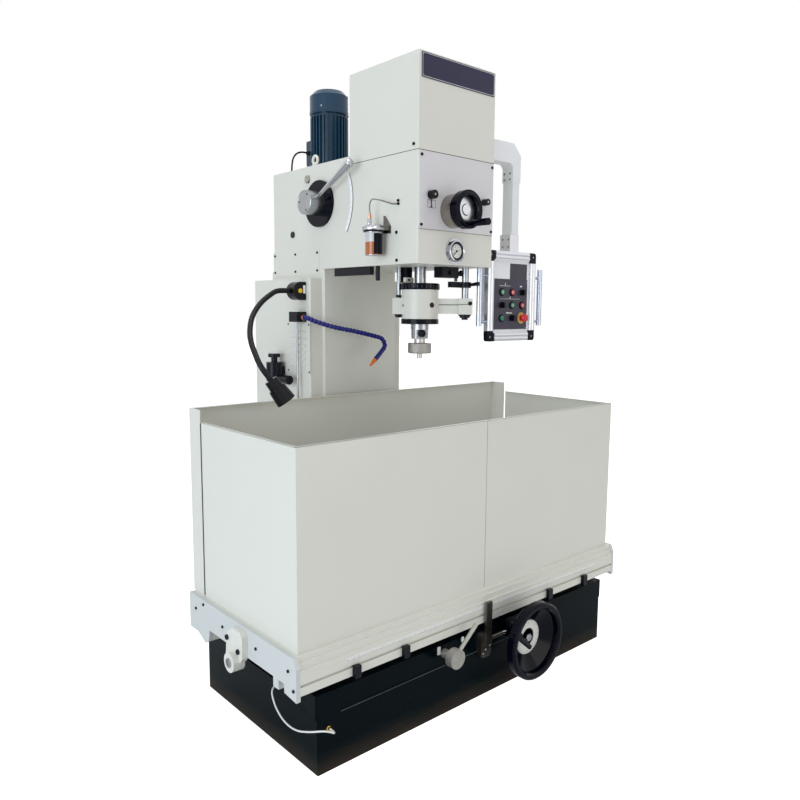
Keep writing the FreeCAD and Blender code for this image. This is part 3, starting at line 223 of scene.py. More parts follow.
GREEN_BUTTON = plastic("green_button_plastic", tone(34, 132, 96), tone(24, 104, 74), 0.26, 500.0, 0.08)
RED_BUTTON = plastic("red_button_plastic", tone(210, 36, 52), tone(180, 26, 40), 0.26, 500.0, 0.08)
STOP_RING = plastic("stop_ring_yellow", tone(222, 176, 92), tone(206, 158, 74), 0.32, 500.0, 0.08)
YELLOW = plastic("yellow_plastic", tone(240, 190, 40), tone(226, 172, 30), 0.32, 500.0, 0.08)


def knurled(name, colour, dark, turns=64.0, lead=1400.0, inner=0.0465, rings=700.0):
    """Steel with crossed knurling round a vertical axis at x = 0 and y = 0, outside an inner radius."""
    shade = Shade(name, Metallic=1.0)
    x, y, z = shade.split()
    turn = shade.put("Math", {0: y, 1: x}, operation="ARCTAN2")
    one = (turn * turns + z * lead).wave()
    two = (turn * turns - z * lead).wave()
    side = (x * x + y * y).power(0.5) > inner
    grooves = (z * rings).wave().size()
    height = (one.size() * 0.25 + two.size() * 0.25 + grooves * 0.7) * side
    shade.set(Base_Color=shade.mix(height * 0.7, colour, dark))
    shade.set(Roughness=0.34 + shade.noise(60.0, 3.0) * 0.12)
    shade.bump(height, 0.6, 0.0012)
    return shade.material


def bed_paint(name, reflection_height=0.085):
    """Dark green gloss paint with a painted brown reflection of the floor, and rougher, in the last hand's
    breadth above the floor.
    """
    shade = Shade(name, Specular_IOR_Level=0.06)
    z = shade.split()[2]
    cloud = shade.noise(3.0, 4.0)
    reflection_edge_noise = shade.noise(9.0, 5.0, (1, 1, 3))
    # Painted reflection of the floor: a brown blend that grows towards the floor, its upper edge made uneven
    # by noise.
    low = (1.0 - (z + (reflection_edge_noise - 0.5) * 0.03) / reflection_height).clamp()
    bed_green = shade.mix(cloud, tone(2, 24, 28), tone(2, 15, 20))
    shade.set(Base_Color=shade.mix(low.power(1.5) * 0.8, bed_green, tone(64, 57, 50)))
    shade.set(Roughness=0.20 + (cloud - 0.5) * 0.10 + low * 0.2)
    shade.bump(shade.noise(260.0, 2.0), 0.15, 0.0006)
    return shade.material


def amber(name, level):
    """Thin oil behind clear plastic: amber below the level, pale above it."""
    shade = Shade(name, Roughness=0.08, IOR=1.45, Coat_Weight=0.6)
    z = shade.split()[2]
    full = z < level
    swirl = shade.noise(30.0, 3.0)
    oil = shade.mix(swirl, tone(196, 104, 30), tone(138, 66, 16))
    shade.set(Base_Color=shade.mix(full, tone(212, 214, 216), oil))
    shade.set(Alpha=0.82 + full * 0.14)
    return shade.material


GREEN = bed_paint("dark_green_bed_paint")
# Pale green-grey for the thin line on the bed's step: a painted highlight on its top edge.
STEP_HIGHLIGHT = plastic("painted_step_highlight", tone(96, 112, 108), tone(20, 36, 36), 0.4, 300.0, 0.05, 0.2)
KNURL = knurled("knurled_steel", tone(196, 192, 188), tone(128, 122, 118))
OIL = amber("oil_behind_plastic", 1.762)


# Meshes
def frame_of(axis):
    """Two unit vectors square to the axis and to each other, then the unit axis."""
    axis = np.array(axis, float) / np.linalg.norm(axis)
    helper = (0, 0, 1) if abs(axis[2]) < 0.9 else (0, 1, 0)
    across = np.cross(helper, axis)
    across /= np.linalg.norm(across)
    return across, np.cross(axis, across), axis


def spokes(turn, across, up):
    """For each angle t, the vector cos t * across + sin t * up and the one a quarter turn further on."""
    turn = np.array(turn, float)[:, None]
    across = np.array(across, float)
    up = np.array(up, float)
    return np.cos(turn) * across + np.sin(turn) * up, np.cos(turn) * up - np.sin(turn) * across


def round_about(centre, radius, turn, across, up):
    """Points on a circle: centre + radius * (cos t * across + sin t * up) for each angle t."""
    return np.array(centre) + radius * spokes(turn, across, up)[0]


def side_by_side(*columns):
    """One row for each mark, from columns that are a number or a row of numbers."""
    return np.stack(np.broadcast_arrays(*columns), -1)


def quads(rows, columns):
    """Faces between neighbouring rows of a grid of points, its columns joined round."""
    row = np.arange(rows - 1)[:, None]
    column = np.arange(columns)[None, :]
    after = (column + 1) % columns
    corners = (row * columns + column, row * columns + after,
               (row + 1) * columns + after, (row + 1) * columns + column)
    return np.stack(corners, -1).reshape(-1, 4)


def closed_run(rows, columns):
    """Faces of a run of closed sections, with a cap on the first and on the last."""
    last = (rows - 1) * columns
    return quads(rows, columns).tolist() + [list(range(columns)), list(range(last, last + columns))]


def solid(name, points, faces, body, material, angle=35):
    """A mesh object from points and faces, turned outwards, smooth up to an angle, riding a body."""
    made = bpy.data.meshes.new(name)
    made.from_pydata(np.asarray(points, float).reshape(-1, 3).tolist(), [], faces)
    made.validate()
    work = bmesh.new()
    work.from_mesh(made)
    bmesh.ops.recalc_face_normals(work, faces=work.faces)
    work.to_mesh(made)
    work.free()
    made.polygons.foreach_set("use_smooth", [True] * len(made.polygons))
    made.set_sharp_from_angle(angle=math.radians(angle))
    made.materials.append(material)
    item = bpy.data.objects.new(name, made)
    bpy.context.scene.collection.objects.link(item)
    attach(item, body)
    return item


def copies(count, size, faces, caps):
    """The same faces for several copies of a run of points, with end caps."""
    result = []
    for k in range(count):
        result += (np.asarray(faces) + k * size).tolist()
        result += [[index + k * size for index in cap] for cap in caps]
    return result


def turned(name, body, material, profile, places, axis, segments=32, angle=35):
    """Copies of a turned shape. A point is place + height * axis + radius * (cos t * across + sin t * up),
    for each (radius, height) of the profile and t in even steps of one turn. A profile that ends where it
    starts is a ring; any other gets a cap at each end."""
    profile = np.array(profile, float)
    across, up, along = frame_of(axis)
    t = np.linspace(0, 2 * math.pi, segments, endpoint=False)
    round_ = np.cos(t)[:, None] * across + np.sin(t)[:, None] * up
    shape = profile[:, 0, None, None] * round_ + profile[:, 1, None, None] * along
    places = np.array(places, float).reshape(-1, 3)
    points = places[:, None, None, :] + shape
    rows = len(profile)
    caps = [list(range(segments)), list(range((rows - 1) * segments, rows * segments))]
    if np.allclose(profile[0], profile[-1]):
        caps = []
    faces = copies(len(places), rows * segments, quads(rows, segments), caps)
    return solid(name, points, faces, body, material, angle)


def rounded(width, height, radius, steps=5):
    """Outline of a rectangle with rounded corners, a quarter turn of each circle at each corner."""
    turn = np.linspace(0, math.pi / 2, steps)[None, :] + np.arange(4)[:, None] * math.pi / 2
    corner_u = (width / 2 - radius) * np.array([1, -1, -1, 1])[:, None]
    corner_v = (height / 2 - radius) * np.array([1, 1, -1, -1])[:, None]
    u = corner_u + radius * np.cos(turn)
    v = corner_v + radius * np.sin(turn)
    return np.stack([u.ravel(), v.ravel()], -1)


def plate(name, body, material, centre, normal, up, width, height, thick, radius=0.002, bevel=0.0004):
    """A flat plate with rounded corners and a small bevel. Each ring of points is the outline, set in by the
    bevel at the face, at a height along the normal."""
    normal = np.array(normal, float)
    up = np.array(up, float)
    side = np.cross(up, normal)
    radius = max(radius, bevel * 1.5)
    outer = rounded(width, height, radius)
    inner = rounded(width - 2 * bevel, height - 2 * bevel, radius - bevel)
    rings = [(outer, 0.0), (outer, thick - bevel), (inner, thick)]
    points = [np.array(centre) + o[:, :1] * side + o[:, 1:] * up + z * normal for o, z in rings]
    return solid(name, np.array(points), closed_run(len(rings), len(outer)), body, material, 30)


def bars(name, body, material, starts, along, up, normal, sizes):
    """Several thin flat bars: each start point plus size * direction for the eight corners."""
    starts = np.array(starts, float).reshape(-1, 3)
    along, up, normal, sizes = (np.array(v, float) for v in (along, up, normal, sizes))
    along, up, normal = (np.broadcast_to(v, starts.shape) for v in (along, up, normal))
    sizes = np.broadcast_to(sizes, starts.shape)
    corners = np.array([(a, b, c) for c in (0, 1) for b in (0, 1) for a in (0, 1)], float)
    steps = corners[None, :, :] * sizes[:, None, :]
    points = starts[:, None, :] + steps[..., :1] * along[:, None, :] + steps[..., 1:2] * up[:, None, :]
    points = points + steps[..., 2:] * normal[:, None, :]
    box = [[0, 1, 3, 2], [4, 5, 7, 6], [0, 1, 5, 4], [2, 3, 7, 6], [0, 2, 6, 4], [1, 3, 7, 5]]
    return solid(name, points, copies(len(starts), 8, box, []), body, material, 30)


def prism(name, body, material, outline, depth):
    """A flat piece with the given outline of points, and the same outline again a depth away."""
    outline = np.array(outline, float)
    points = np.stack([outline, outline + np.array(depth, float)])
    return solid(name, points, closed_run(2, len(outline)), body, material, 30)


def ridges(name, body, material, runs, normal, width, rise, steps=11):
    """Low rounded ribs. Across a rib a point is start + width / 2 * cos t * side + rise * sin t * normal,
    with t from 0 to half a turn, and the same again at its other end."""
    t = np.linspace(0, math.pi, steps)
    points = []
    for start, end in np.array(runs, float):
        side = np.cross(end - start, normal)
        side /= np.linalg.norm(side)
        section = width / 2 * np.cos(t)[:, None] * side + rise * np.sin(t)[:, None] * np.array(normal, float)
        points.append(np.stack([start + section, end + section]))
    caps = [list(range(steps)), list(range(steps, 2 * steps))]
    faces = copies(len(runs), 2 * steps, quads(2, steps), caps)
    return solid(name, np.array(points), faces, body, material, 50)


def swept(name, body, material, path, radius, segments=20, angle=35):
    """A tube along a path of points. A point is the path's + radius * (cos t * side + sin t * up), where side
    is square to the path's direction and to a fixed helper direction."""
    path = np.array(path, float)
    ahead = np.gradient(path, axis=0)
    ahead /= np.linalg.norm(ahead, axis=1)[:, None]
    spread = np.abs(ahead).max(0)
    helper = np.eye(3)[int(np.argmin(spread))]
    side = np.cross(ahead, helper)
    side /= np.linalg.norm(side, axis=1)[:, None]
    up = np.cross(side, ahead)
    t = np.linspace(0, 2 * math.pi, segments, endpoint=False)
    radius = np.broadcast_to(np.array(radius, float), len(path))
    ring = np.cos(t)[None, :, None] * side[:, None, :] + np.sin(t)[None, :, None] * up[:, None, :]
    points = path[:, None, :] + radius[:, None, None] * ring
    return solid(name, points, closed_run(len(path), segments), body, material, angle)


def route(corners, spacing=0.002, share=0.45):
    """Points along straight runs joined by tangent arcs, each arc taking a share of the shorter run."""
    corners = np.array(corners, float)
    points = [corners[:1]]
    for k in range(1, len(corners) - 1):
        into = corners[k - 1] - corners[k]
        out = corners[k + 1] - corners[k]
        reach = share * min(np.linalg.norm(into), np.linalg.norm(out))
        into /= np.linalg.norm(into)
        out /= np.linalg.norm(out)
        half = (math.pi - math.acos(float(np.clip(into @ out, -1, 1)))) / 2
        radius = reach / math.tan(half)
        inward = (into + out) / np.linalg.norm(into + out)
        centre = corners[k] + inward * radius / math.cos(half)
        sweep = np.linspace(-half, half, 9)[:, None]
        along = (out - into) / np.linalg.norm(out - into)
        points.append(centre - radius * np.cos(sweep) * inward + radius * np.sin(sweep) * along)
    points.append(corners[-1:])
    rough = np.concatenate(points)
    steps = np.concatenate([[0], np.cumsum(np.linalg.norm(np.diff(rough, axis=0), axis=1))])
    even = np.arange(0, steps[-1], spacing)
    return np.stack([np.interp(np.append(even, steps[-1]), steps, rough[:, k]) for k in range(3)], -1)


def cable(name, node, material, corners, radius):
    """A free cord as a smooth curve through the same points as the CAD cord, which it stands for."""
    curve = bpy.data.curves.new(name, "CURVE")
    curve.dimensions = "3D"
    curve.bevel_depth = radius
    curve.bevel_resolution = 6
    curve.resolution_u = 16
    curve.use_fill_caps = True
    spline = curve.splines.new("NURBS")
    spline.points.add(len(corners) - 1)
    spline.points.foreach_set("co", np.append(corners, np.ones((len(corners), 1)), 1).ravel())
    spline.order_u = 3
    spline.use_endpoint_u = True
    curve.materials.append(material)
    item = bpy.data.objects.new(name, curve)
    bpy.context.scene.collection.objects.link(item)
    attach(item, "frame")
    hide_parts(node)
    return item, spline.calc_length()


def digits(name, body, material, words, centre, side, up, height):
    """Plain raised lettering: a text outline turned into a mesh, with side and up as its directions."""
    curve = bpy.data.curves.new(name, "FONT")
    curve.body = words
    curve.size = height
    curve.align_x = "CENTER"
    curve.align_y = "CENTER"
    curve.extrude = 0.00015
    item = bpy.data.objects.new(name + "_text", curve)
    bpy.context.scene.collection.objects.link(item)
    graph = bpy.context.evaluated_depsgraph_get()
    made = bpy.data.meshes.new_from_object(item.evaluated_get(graph))
    normal = np.cross(side, up)
    turn = Matrix([list(row) for row in np.array([side, up, normal], float).T]).to_4x4()
    made.transform(Matrix.Translation(Vector(centre)) @ turn)
    bpy.data.objects.remove(item)
    made.materials.clear()
    made.materials.append(material)
    made.name = name
    letters = bpy.data.objects.new(name, made)
    bpy.context.scene.collection.objects.link(letters)
    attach(letters, body)
    return letters


# Screws
def socket_screws(name, body, material, places, axis, radius=0.006, height=0.005):
    """Socket heads: a rim, a bevel, a flat face and a round well."""
    profile = [(radius, 0.0), (radius, height - 0.0006), (radius - 0.0006, height), (radius * 0.55, height),
               (radius * 0.5, height * 0.35)]
    return turned(name, body, material, profile, places, axis, 18)


def button_screws(name, body, material, places, axis, radius=0.0045, height=0.0022):
    """Low domed heads: the height falls with the square of the radius, with a small well in the middle."""
    share = np.linspace(1, 0.45, 6)
    dome = [(radius * s, height * (1 - s * s) + 0.0002) for s in share]
    profile = [(radius, 0.0)] + dome + [(radius * 0.4, height * 0.3)]
    return turned(name, body, material, profile, places, axis, 16)


# Materials of the CAD nodes
LOOKS = {
    PLATE_PAINT: ("head_front_plate",),
    END_PAINT: ("table_end_plates",),
    CREAM: ("column", "side_cabinets", "cabinet_vent", "head_casting", "head_cover", "lifting_eye", "table",
            "tray_walls", "tray_back_wall", "spindle_carriage", "end_bracket"),
    GREEN: ("base",),
    MOTOR: ("motor",),
    BLACK_PAINT: ("table_stops", "carriage_bands", "stop_dog", "underside_fittings", "coolant_block",
                  "air_regulator"),
    STEEL: ("spline_shaft", "spindle_nose", "carriage_rods", "coolant_pipe"),
    SATIN: ("table_clamp_lever",),
    DRUM: ("feed_drum",),
    DARK_STEEL: ("index_bracket",),
    ARM_PAINT: ("pendant_arm", "pendant_box"),
    ENAMEL: ("lever_dial", "table_handwheel", "feed_handwheel", "pendant_corners"),
    KNURL: ("hone_driver",),
    CHROME: ("side_lever", "pressure_gauge"),
    ALUMINIUM: ("pendant_frame", "oil_cup_cap"),
    HANDLE: ("pendant_handles",),
    BLACK: ("knobs_and_plugs", "lamp_base", "lamp_head", "coolant_selector", "mode_selector",
            "spindle_selector"),
    RUBBER: ("motor_cable", "lamp_neck"),
    PANEL: ("pendant_panel",),
    HOSE_BLUE: ("coolant_hose",),
    ORANGE: ("coolant_nozzle",),
    WHITE: ("oil_tube",),
    OIL: ("oil_cup_jar",),
    GREEN_BUTTON: ("start_button", "rise_button", "lamp_button"),
    RED_BUTTON: ("halt_button", "lower_button", "stop_button"),
}
for look, nodes in LOOKS.items():
    for node in nodes:
        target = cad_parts[node].data
        target.materials.clear()
        target.materials.append(look)

# Plates and screws of the head
HEAD_LEFT = -0.205
COVER_FRONT = -0.204
PLATE_FRONT = -0.207
SEAM_Z = 2.0838
plate("cover_name_plate", "frame", BLUE_PLATE, (0.002, COVER_FRONT, 2.380), FRONT, Z,
      0.388, 0.088, 0.002, 0.004)
BORDER_Y = -0.2062
BORDER_LONG = (0.382, 0.0013, 0.0003)
BORDER_SHORT = (0.081, 0.0013, 0.0003)
bars("name_plate_border", "frame", ALUMINIUM,
     [(-0.189, BORDER_Y, 2.3395), (-0.189, BORDER_Y, 2.4195), (-0.189, BORDER_Y, 2.3395),
      (0.1915, BORDER_Y, 2.3395)],
     [X, X, Z, Z], [Z, Z, X, X], FRONT, [BORDER_LONG, BORDER_LONG, BORDER_SHORT, BORDER_SHORT])
button_screws("name_plate_screws", "frame", STEEL,
              [(x, -0.206, z) for x in (-0.186, 0.190) for z in (2.343, 2.417)], FRONT, 0.003, 0.0016)
plate("access_plate", "frame", CREAM, (HEAD_LEFT, 0.602, 1.711), LEFT, Z, 0.370, 0.112, 0.0015, 0.003)
socket_screws("access_plate_screws", "frame", BLACK_PAINT,
              [(-0.2065, y, z) for y in (0.432, 0.602, 0.772) for z in (1.673, 1.749)], LEFT, 0.005, 0.004)
socket_screws("front_plate_screws", "frame", BLACK_PAINT,
              [(x, PLATE_FRONT, z) for x in (-0.190, 0.190) for z in (1.818, 2.067)], FRONT, 0.0055, 0.004)
socket_screws("head_side_screws", "frame", BLACK_PAINT,
              [(HEAD_LEFT, -0.088, 1.797), (HEAD_LEFT, -0.090, 1.693), (HEAD_LEFT, -0.181, 2.105)],
              LEFT, 0.006, 0.004)

# Side lever: turned hub and a taper that swells to a rounded end
LEVER_Y = 0.408
LEVER_Z = 1.951
LEVER_WAY = (-0.05, -0.9135, 0.4067)
hub = turned("lever_hub", "side_lever", STEEL,
             [(0.0500, 0.0), (0.0500, 0.0690), (0.0480, 0.0707), (0.0440, 0.0707), (0.0430, 0.0700)],
             [(-0.2193, LEVER_Y, LEVER_Z)], LEFT, 56)
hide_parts("side_lever")
turned("lever_taper", "side_lever", CHROME,
       [(0.0086, 0.030), (0.0088, 0.060), (0.0126, 0.190), (0.0176, 0.300), (0.0176, 0.306), (0.0160, 0.311),
        (0.0110, 0.3145), (0.0050, 0.3155)], [(-0.246, LEVER_Y, LEVER_Z)], LEVER_WAY, 40, angle=60)
socket_screws("lever_hub_screws", "side_lever", DARK_STEEL,
              round_about((-0.290, LEVER_Y, LEVER_Z), 0.037, (0.1, 2.2, 4.3), Y, Z), LEFT, 0.0042, 0.0012)
turned("head_plug_face", "frame", SATIN,
       [(0.0168, -0.0055), (0.0168, 0.0010), (0.0150, 0.0020), (0.0110, 0.0020), (0.0090, 0.0005)],
       [(-0.211, 0.501, 2.0640)], LEFT, 32)
plate("small_front_label", "frame", PLATE_PAINT, (-0.139, PLATE_FRONT, 1.896), FRONT, Z,
      0.046, 0.032, 0.0006, 0.002)
LABEL_Y = -0.2076
bars("small_label_lines", "frame", INK_AND_SHADE,
     [(-0.1605, LABEL_Y, 1.8815), (-0.1605, LABEL_Y, 1.9090), (-0.1605, LABEL_Y, 1.8815),
      (-0.1190, LABEL_Y, 1.8815), (-0.1420, LABEL_Y, 1.8830), (-0.1450, LABEL_Y, 1.8830)],
     [X, X, Z, Z, Z, X], [Z, Z, X, X, X, Z], FRONT,
     [(0.043, 0.0011, 0.0002), (0.043, 0.0011, 0.0002), (0.0285, 0.0011, 0.0002), (0.0285, 0.0011, 0.0002),
      (0.0300, 0.0050, 0.0002), (0.0110, 0.0040, 0.0002)])
turned("knob_centres", "frame", STEEL, [(0.0042, 0.0), (0.0042, 0.0008), (0.0030, 0.0014)],
       [(-0.144, -0.233, 1.928), (0.144, -0.233, 1.928)], FRONT, 20)
bars("cover_seam_line", "frame", INK_AND_SHADE,
     [(-0.2051, -0.2035, SEAM_Z), (-0.2045, -0.2041, SEAM_Z), (0.2047, -0.2035, SEAM_Z)],
     [Y, X, Y], Z, [LEFT, FRONT, X], (0.409, 0.0020, 0.0003))
# Painted shade: a thin black line under the bottom edge of the proud front plate.
bars("front_plate_edge_shade", "frame", INK_AND_SHADE, [(-0.1990, -0.2041, 1.8024)], X, Z, FRONT,
     (0.398, 0.0013, 0.0003))


def lever_arc(name, material, low, high, raised, steps=40):
    """The pale strip beside the lever: radius from low to high and turn from +27 to -35 degrees about the
    lever's axis, raised from the head by a small depth."""
    turn = np.radians(np.linspace(-35, 27, steps))[:, None]
    radius = np.array([low, high, high, low])
    x = HEAD_LEFT - np.array([0, 0, raised, raised]) + 0 * turn
    points = np.stack([x, LEVER_Y - radius * np.cos(turn), LEVER_Z + radius * np.sin(turn)], -1)
    return solid(name, points, closed_run(steps, 4), "frame", material, 30)


lever_arc("lever_arc_strip", STRIP, 0.2125, 0.2260, 0.0022)
lever_arc("lever_arc_edge", DARK_STEEL, 0.2262, 0.2284, 0.0016)
lever_arc("lever_arc_inner_edge", ALUMINIUM, 0.2110, 0.2123, 0.0014)
spoke, rise = spokes(np.radians(np.linspace(-33, 25, 11)), FRONT, Z)
bars("lever_arc_marks", "frame", INK_AND_SHADE, np.array([-0.2072, LEVER_Y, LEVER_Z]) + spoke * 0.219, spoke, rise,
     LEFT, (0.004, 0.0010, 0.0003))

# Pressure gauge: bezel, white face, marks, numbers and hand
GAUGE = np.array([-0.009, -0.213, 1.731])
GAUGE_START = 225
GAUGE_SWEEP = 270
FACE_LIFT = np.array([0, -0.0006, 0])
quarters = np.radians((45, 135, 225, 315))
turned("gauge_bezel", "frame", CHROME,
       [(0.0340, 0.0), (0.0340, 0.003), (0.0358, 0.006), (0.0395, 0.005), (0.0410, -0.001), (0.0410, -0.006),
        (0.0340, -0.006), (0.0340, 0.0)], [GAUGE], FRONT, 56)
turned("gauge_shadow_ring", "frame", BLACK_PAINT,
       [(0.0341, 0.0), (0.0341, 0.0022), (0.0270, 0.0012), (0.0270, 0.0), (0.0341, 0.0)], [GAUGE], FRONT, 48)
turned("gauge_face", "frame", WHITE, [(0.0305, 0.0), (0.0305, 0.0006), (0.001, 0.0006)], [GAUGE], FRONT, 48)
spoke, rise = spokes(np.radians(np.linspace(GAUGE_START, GAUGE_START - GAUGE_SWEEP, 28)), X, Z)
length = np.where(np.arange(28) % 3 == 0, 0.0055, 0.003)
bars("gauge_marks", "frame", INK_AND_SHADE, GAUGE + spoke * (0.0262 - length[:, None]) + FACE_LIFT, spoke, rise,
     FRONT, side_by_side(length, 0.0011, 0.0002))
for k, number in enumerate(("0", "2", "4", "6", "8", "10")):
    turn = math.radians(GAUGE_START - k * GAUGE_SWEEP / 5)
    centre = round_about((GAUGE[0], -0.2138, GAUGE[2]), 0.0165, (turn,), X, Z)[0]
    digits("gauge_number_" + number, "frame", INK_AND_SHADE, number, centre, X, Z, 0.0068)
hand, across = (v[0] for v in spokes(np.radians((215,)), X, Z))
bars("gauge_hand", "frame", INK_AND_SHADE, [GAUGE + np.array([0.0005, -0.0012, -0.0008]) - hand * 0.008],
     hand, across, FRONT, (0.030, 0.0030, 0.0005))
turned("gauge_hub", "frame", BLACK_PAINT, [(0.0036, 0.0), (0.0036, 0.002), (0.0024, 0.0026)],
       [GAUGE + FACE_LIFT], FRONT, 20)
button_screws("gauge_screws", "frame", BLACK_PAINT,
              round_about((GAUGE[0], -0.207, GAUGE[2]), 0.0450, quarters, X, Z), FRONT, 0.0032, 0.002)

# Small handwheel: marks on the drum, pale disc inside the rim
FEED_X = -0.030
FEED_Z = 1.878
spoke, rise = spokes(np.linspace(0, 2 * math.pi, 60, endpoint=False), X, Z)
length = np.where(np.arange(60) % 5 == 0, 0.012, 0.007)
bars("drum_marks", "frame", INK_AND_SHADE, np.array([FEED_X, -0.2565, FEED_Z]) + spoke * 0.0630, Y, rise, spoke,
     side_by_side(length, 0.0008, 0.0002))
turned("feed_wheel_disc", "feed_handwheel", ALUMINIUM,
       [(0.054, 0.0), (0.054, 0.0022), (0.052, 0.003), (0.022, 0.004), (0.0200, 0.0085), (0.0190, 0.0092)],
       [(FEED_X, -0.2745, FEED_Z)], FRONT, 48)
turned("feed_wheel_lip", "feed_handwheel", ENAMEL,
       [(0.0500, 0.0), (0.0490, 0.004), (0.0510, 0.0085), (0.0600, 0.0095), (0.0640, 0.0070), (0.0640, 0.0),
        (0.0500, 0.0)], [(FEED_X, -0.2905, FEED_Z)], FRONT, 56)

# Oil cup: cap on the jar, its bracket on the head, stub, thin tube and fittings
CUP_X = -0.250
CUP_Y = -0.006
cap = turned("oil_cup_flanged_cap", "frame", CHROME,
             [(0.0345, 0.0), (0.0345, 0.0065), (0.0440, 0.0075), (0.0455, 0.0095), (0.0455, 0.0150),
              (0.0440, 0.0168), (0.0360, 0.0175), (0.0340, 0.0205), (0.0335, 0.0255), (0.0300, 0.0285)],
             [(CUP_X, CUP_Y, 1.798)], Z, 56)
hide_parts("oil_cup_cap")
turned("oil_cup_gasket", "frame", BLACK_PAINT,
       [(0.0350, 0.0), (0.0400, 0.0), (0.0400, 0.0055), (0.0350, 0.0055), (0.0350, 0.0)],
       [(CUP_X, CUP_Y, 1.7995)], Z, 40)
socket_screws("oil_cup_cap_screws", "frame", DARK_STEEL,
              round_about((CUP_X, CUP_Y, 1.815), 0.0395, np.radians((150, 225, 315, 60)), X, Y),
              Z, 0.0042, 0.0035)
bars("oil_cup_arm", "frame", DARK_STEEL, [(-0.240, -0.050, 1.806)], X, Y, Z, (0.034, 0.030, 0.017))
prism("oil_cup_bracket", "frame", DARK_STEEL,
      [(-0.2052, -0.056, 1.795), (-0.2052, -0.056, 1.822), (-0.2052, -0.024, 1.862), (-0.2052, -0.014, 1.864),
       (-0.2052, -0.014, 1.797)], (-0.0035, 0, 0))
tube = route([(CUP_X, 0.018, 1.872), (CUP_X, 0.020, 1.908), (-0.249, 0.008, 1.926), (-0.232, -0.020, 1.921),
              (-0.215, -0.072, 1.902), (-0.208, -0.098, 1.901), (-0.2055, -0.099, 1.901)])
swept("oil_cup_tube", "frame", DARK_STEEL, tube, 0.0026, 12)
turned("oil_cup_stub", "frame", CHROME, [(0.0085, 0.0), (0.0085, 0.026), (0.0072, 0.029)],
       [(CUP_X, 0.020, 1.824)], Z, 24)
turned("oil_cup_union", "frame", COPPER, [(0.0068, 0.0), (0.0068, 0.012), (0.0045, 0.015), (0.0038, 0.024)],
       [(CUP_X, 0.0185, 1.852)], Z, 6, angle=20)
turned("oil_tube_elbow", "frame", BLACK_PAINT, [(0.0052, 0.0), (0.0052, 0.006), (0.0042, 0.007)],
       [(HEAD_LEFT, -0.099, 1.901), (HEAD_LEFT, -0.0985, 1.913)], LEFT, 20)


def oil_cup_label(steps=24):
    """A dark label round the right half of the jar, 0.3 mm thick: turn from -128 to -10 degrees."""
    turn = np.radians(np.linspace(-128, -10, steps))[:, None]
    radius = np.array([0.0333, 0.0336, 0.0336, 0.0333])
    z = np.array([1.7165, 1.7165, 1.794, 1.794]) + 0 * turn
    points = np.stack([CUP_X + radius * np.cos(turn), CUP_Y + radius * np.sin(turn), z], -1)
    return solid("oil_cup_label", points, closed_run(steps, 4), "frame", ENAMEL, 30)


oil_cup_label()
turned("oil_cup_base", "frame", STEEL, [(0.0335, 0.0), (0.0335, 0.0022)], [(CUP_X, CUP_Y, 1.7120)], Z, 48)

# Motor: flange bolts, terminal box lid and gland, cover band and its screw
MOTOR_Y = 0.625
socket_screws("motor_flange_bolts", "frame", STEEL,
              round_about((0, MOTOR_Y, 2.131), 0.090, quarters, X, Y), Z, 0.007, 0.007)
plate("terminal_box_lid", "frame", MOTOR, (0.0, 0.761, 2.232), Y, Z, 0.066, 0.108, 0.004, 0.006)
button_screws("terminal_lid_screws", "frame", STEEL,
              [(x, 0.765, z) for x in (-0.026, 0.026) for z in (2.185, 2.279)], Y, 0.003, 0.0018)
turned("terminal_gland", "frame", BLACK,
       [(0.011, 0.0), (0.011, 0.006), (0.009, 0.008), (0.009, 0.014), (0.006, 0.016)],
       [(-0.035, 0.737, 2.232)], LEFT, 24)
turned("motor_cover_band", "frame", MOTOR, [(0.0890, 0.0), (0.0902, 0.001), (0.0902, 0.007), (0.0890, 0.008)],
       [(0.0, MOTOR_Y, 2.390)], Z, 64)
button_screws("motor_cover_screws", "frame", STEEL,
              round_about((0, MOTOR_Y, 2.410), 0.089, np.radians((210,)), X, Y), (-0.866, -0.5, 0),
              0.004, 0.002)

# Vent plate screws
button_screws("vent_screws", "frame", BLACK_PAINT,
              [(-0.2715, y, z) for y in (0.405, 0.567) for z in (1.236, 1.440)], LEFT, 0.0048, 0.003)

# Lamp base: label and push button
plate("lamp_label", "frame", WHITE, (-0.2795, 0.425, 1.590), FRONT, Z, 0.012, 0.034, 0.0006, 0.001)
turned("lamp_button_cap", "frame", YELLOW, [(0.010, 0.0), (0.010, 0.002), (0.008, 0.0035), (0.004, 0.0038)],
       [(-0.300, 0.425, 1.584)], FRONT, 28)

# Coolant: copper collar, jointed hose with one bead to each joint
HOSE_START = (-0.290, 0.425, 1.471)
HOSE = [HOSE_START, (-0.290, 0.396, 1.471), (-0.258, 0.366, 1.453), (-0.190, 0.334, 1.430),
        (-0.110, 0.308, 1.415), (-0.035, 0.291, 1.398), (0.034, 0.279, 1.381), (0.046, 0.272, 1.346),
        (-0.004, 0.258, 1.309), (-0.035, 0.248, 1.289)]
HOSE_STEP = 0.0011
BEAD_PITCH = 0.0175
turned("coolant_collar", "frame", COPPER, [(0.0125, -0.001), (0.0125, 0.010), (0.0105, 0.013)],
       [HOSE_START], FRONT, 32)
line = route(HOSE, HOSE_STEP)
bead = np.abs(np.cos(math.pi * (np.arange(len(line)) * HOSE_STEP) / BEAD_PITCH))
hose = swept("jointed_coolant_hose", "frame", HOSE_BLUE, line, 0.0070 + 0.0036 * bead ** 0.6, 22,
             50)
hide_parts("coolant_hose")

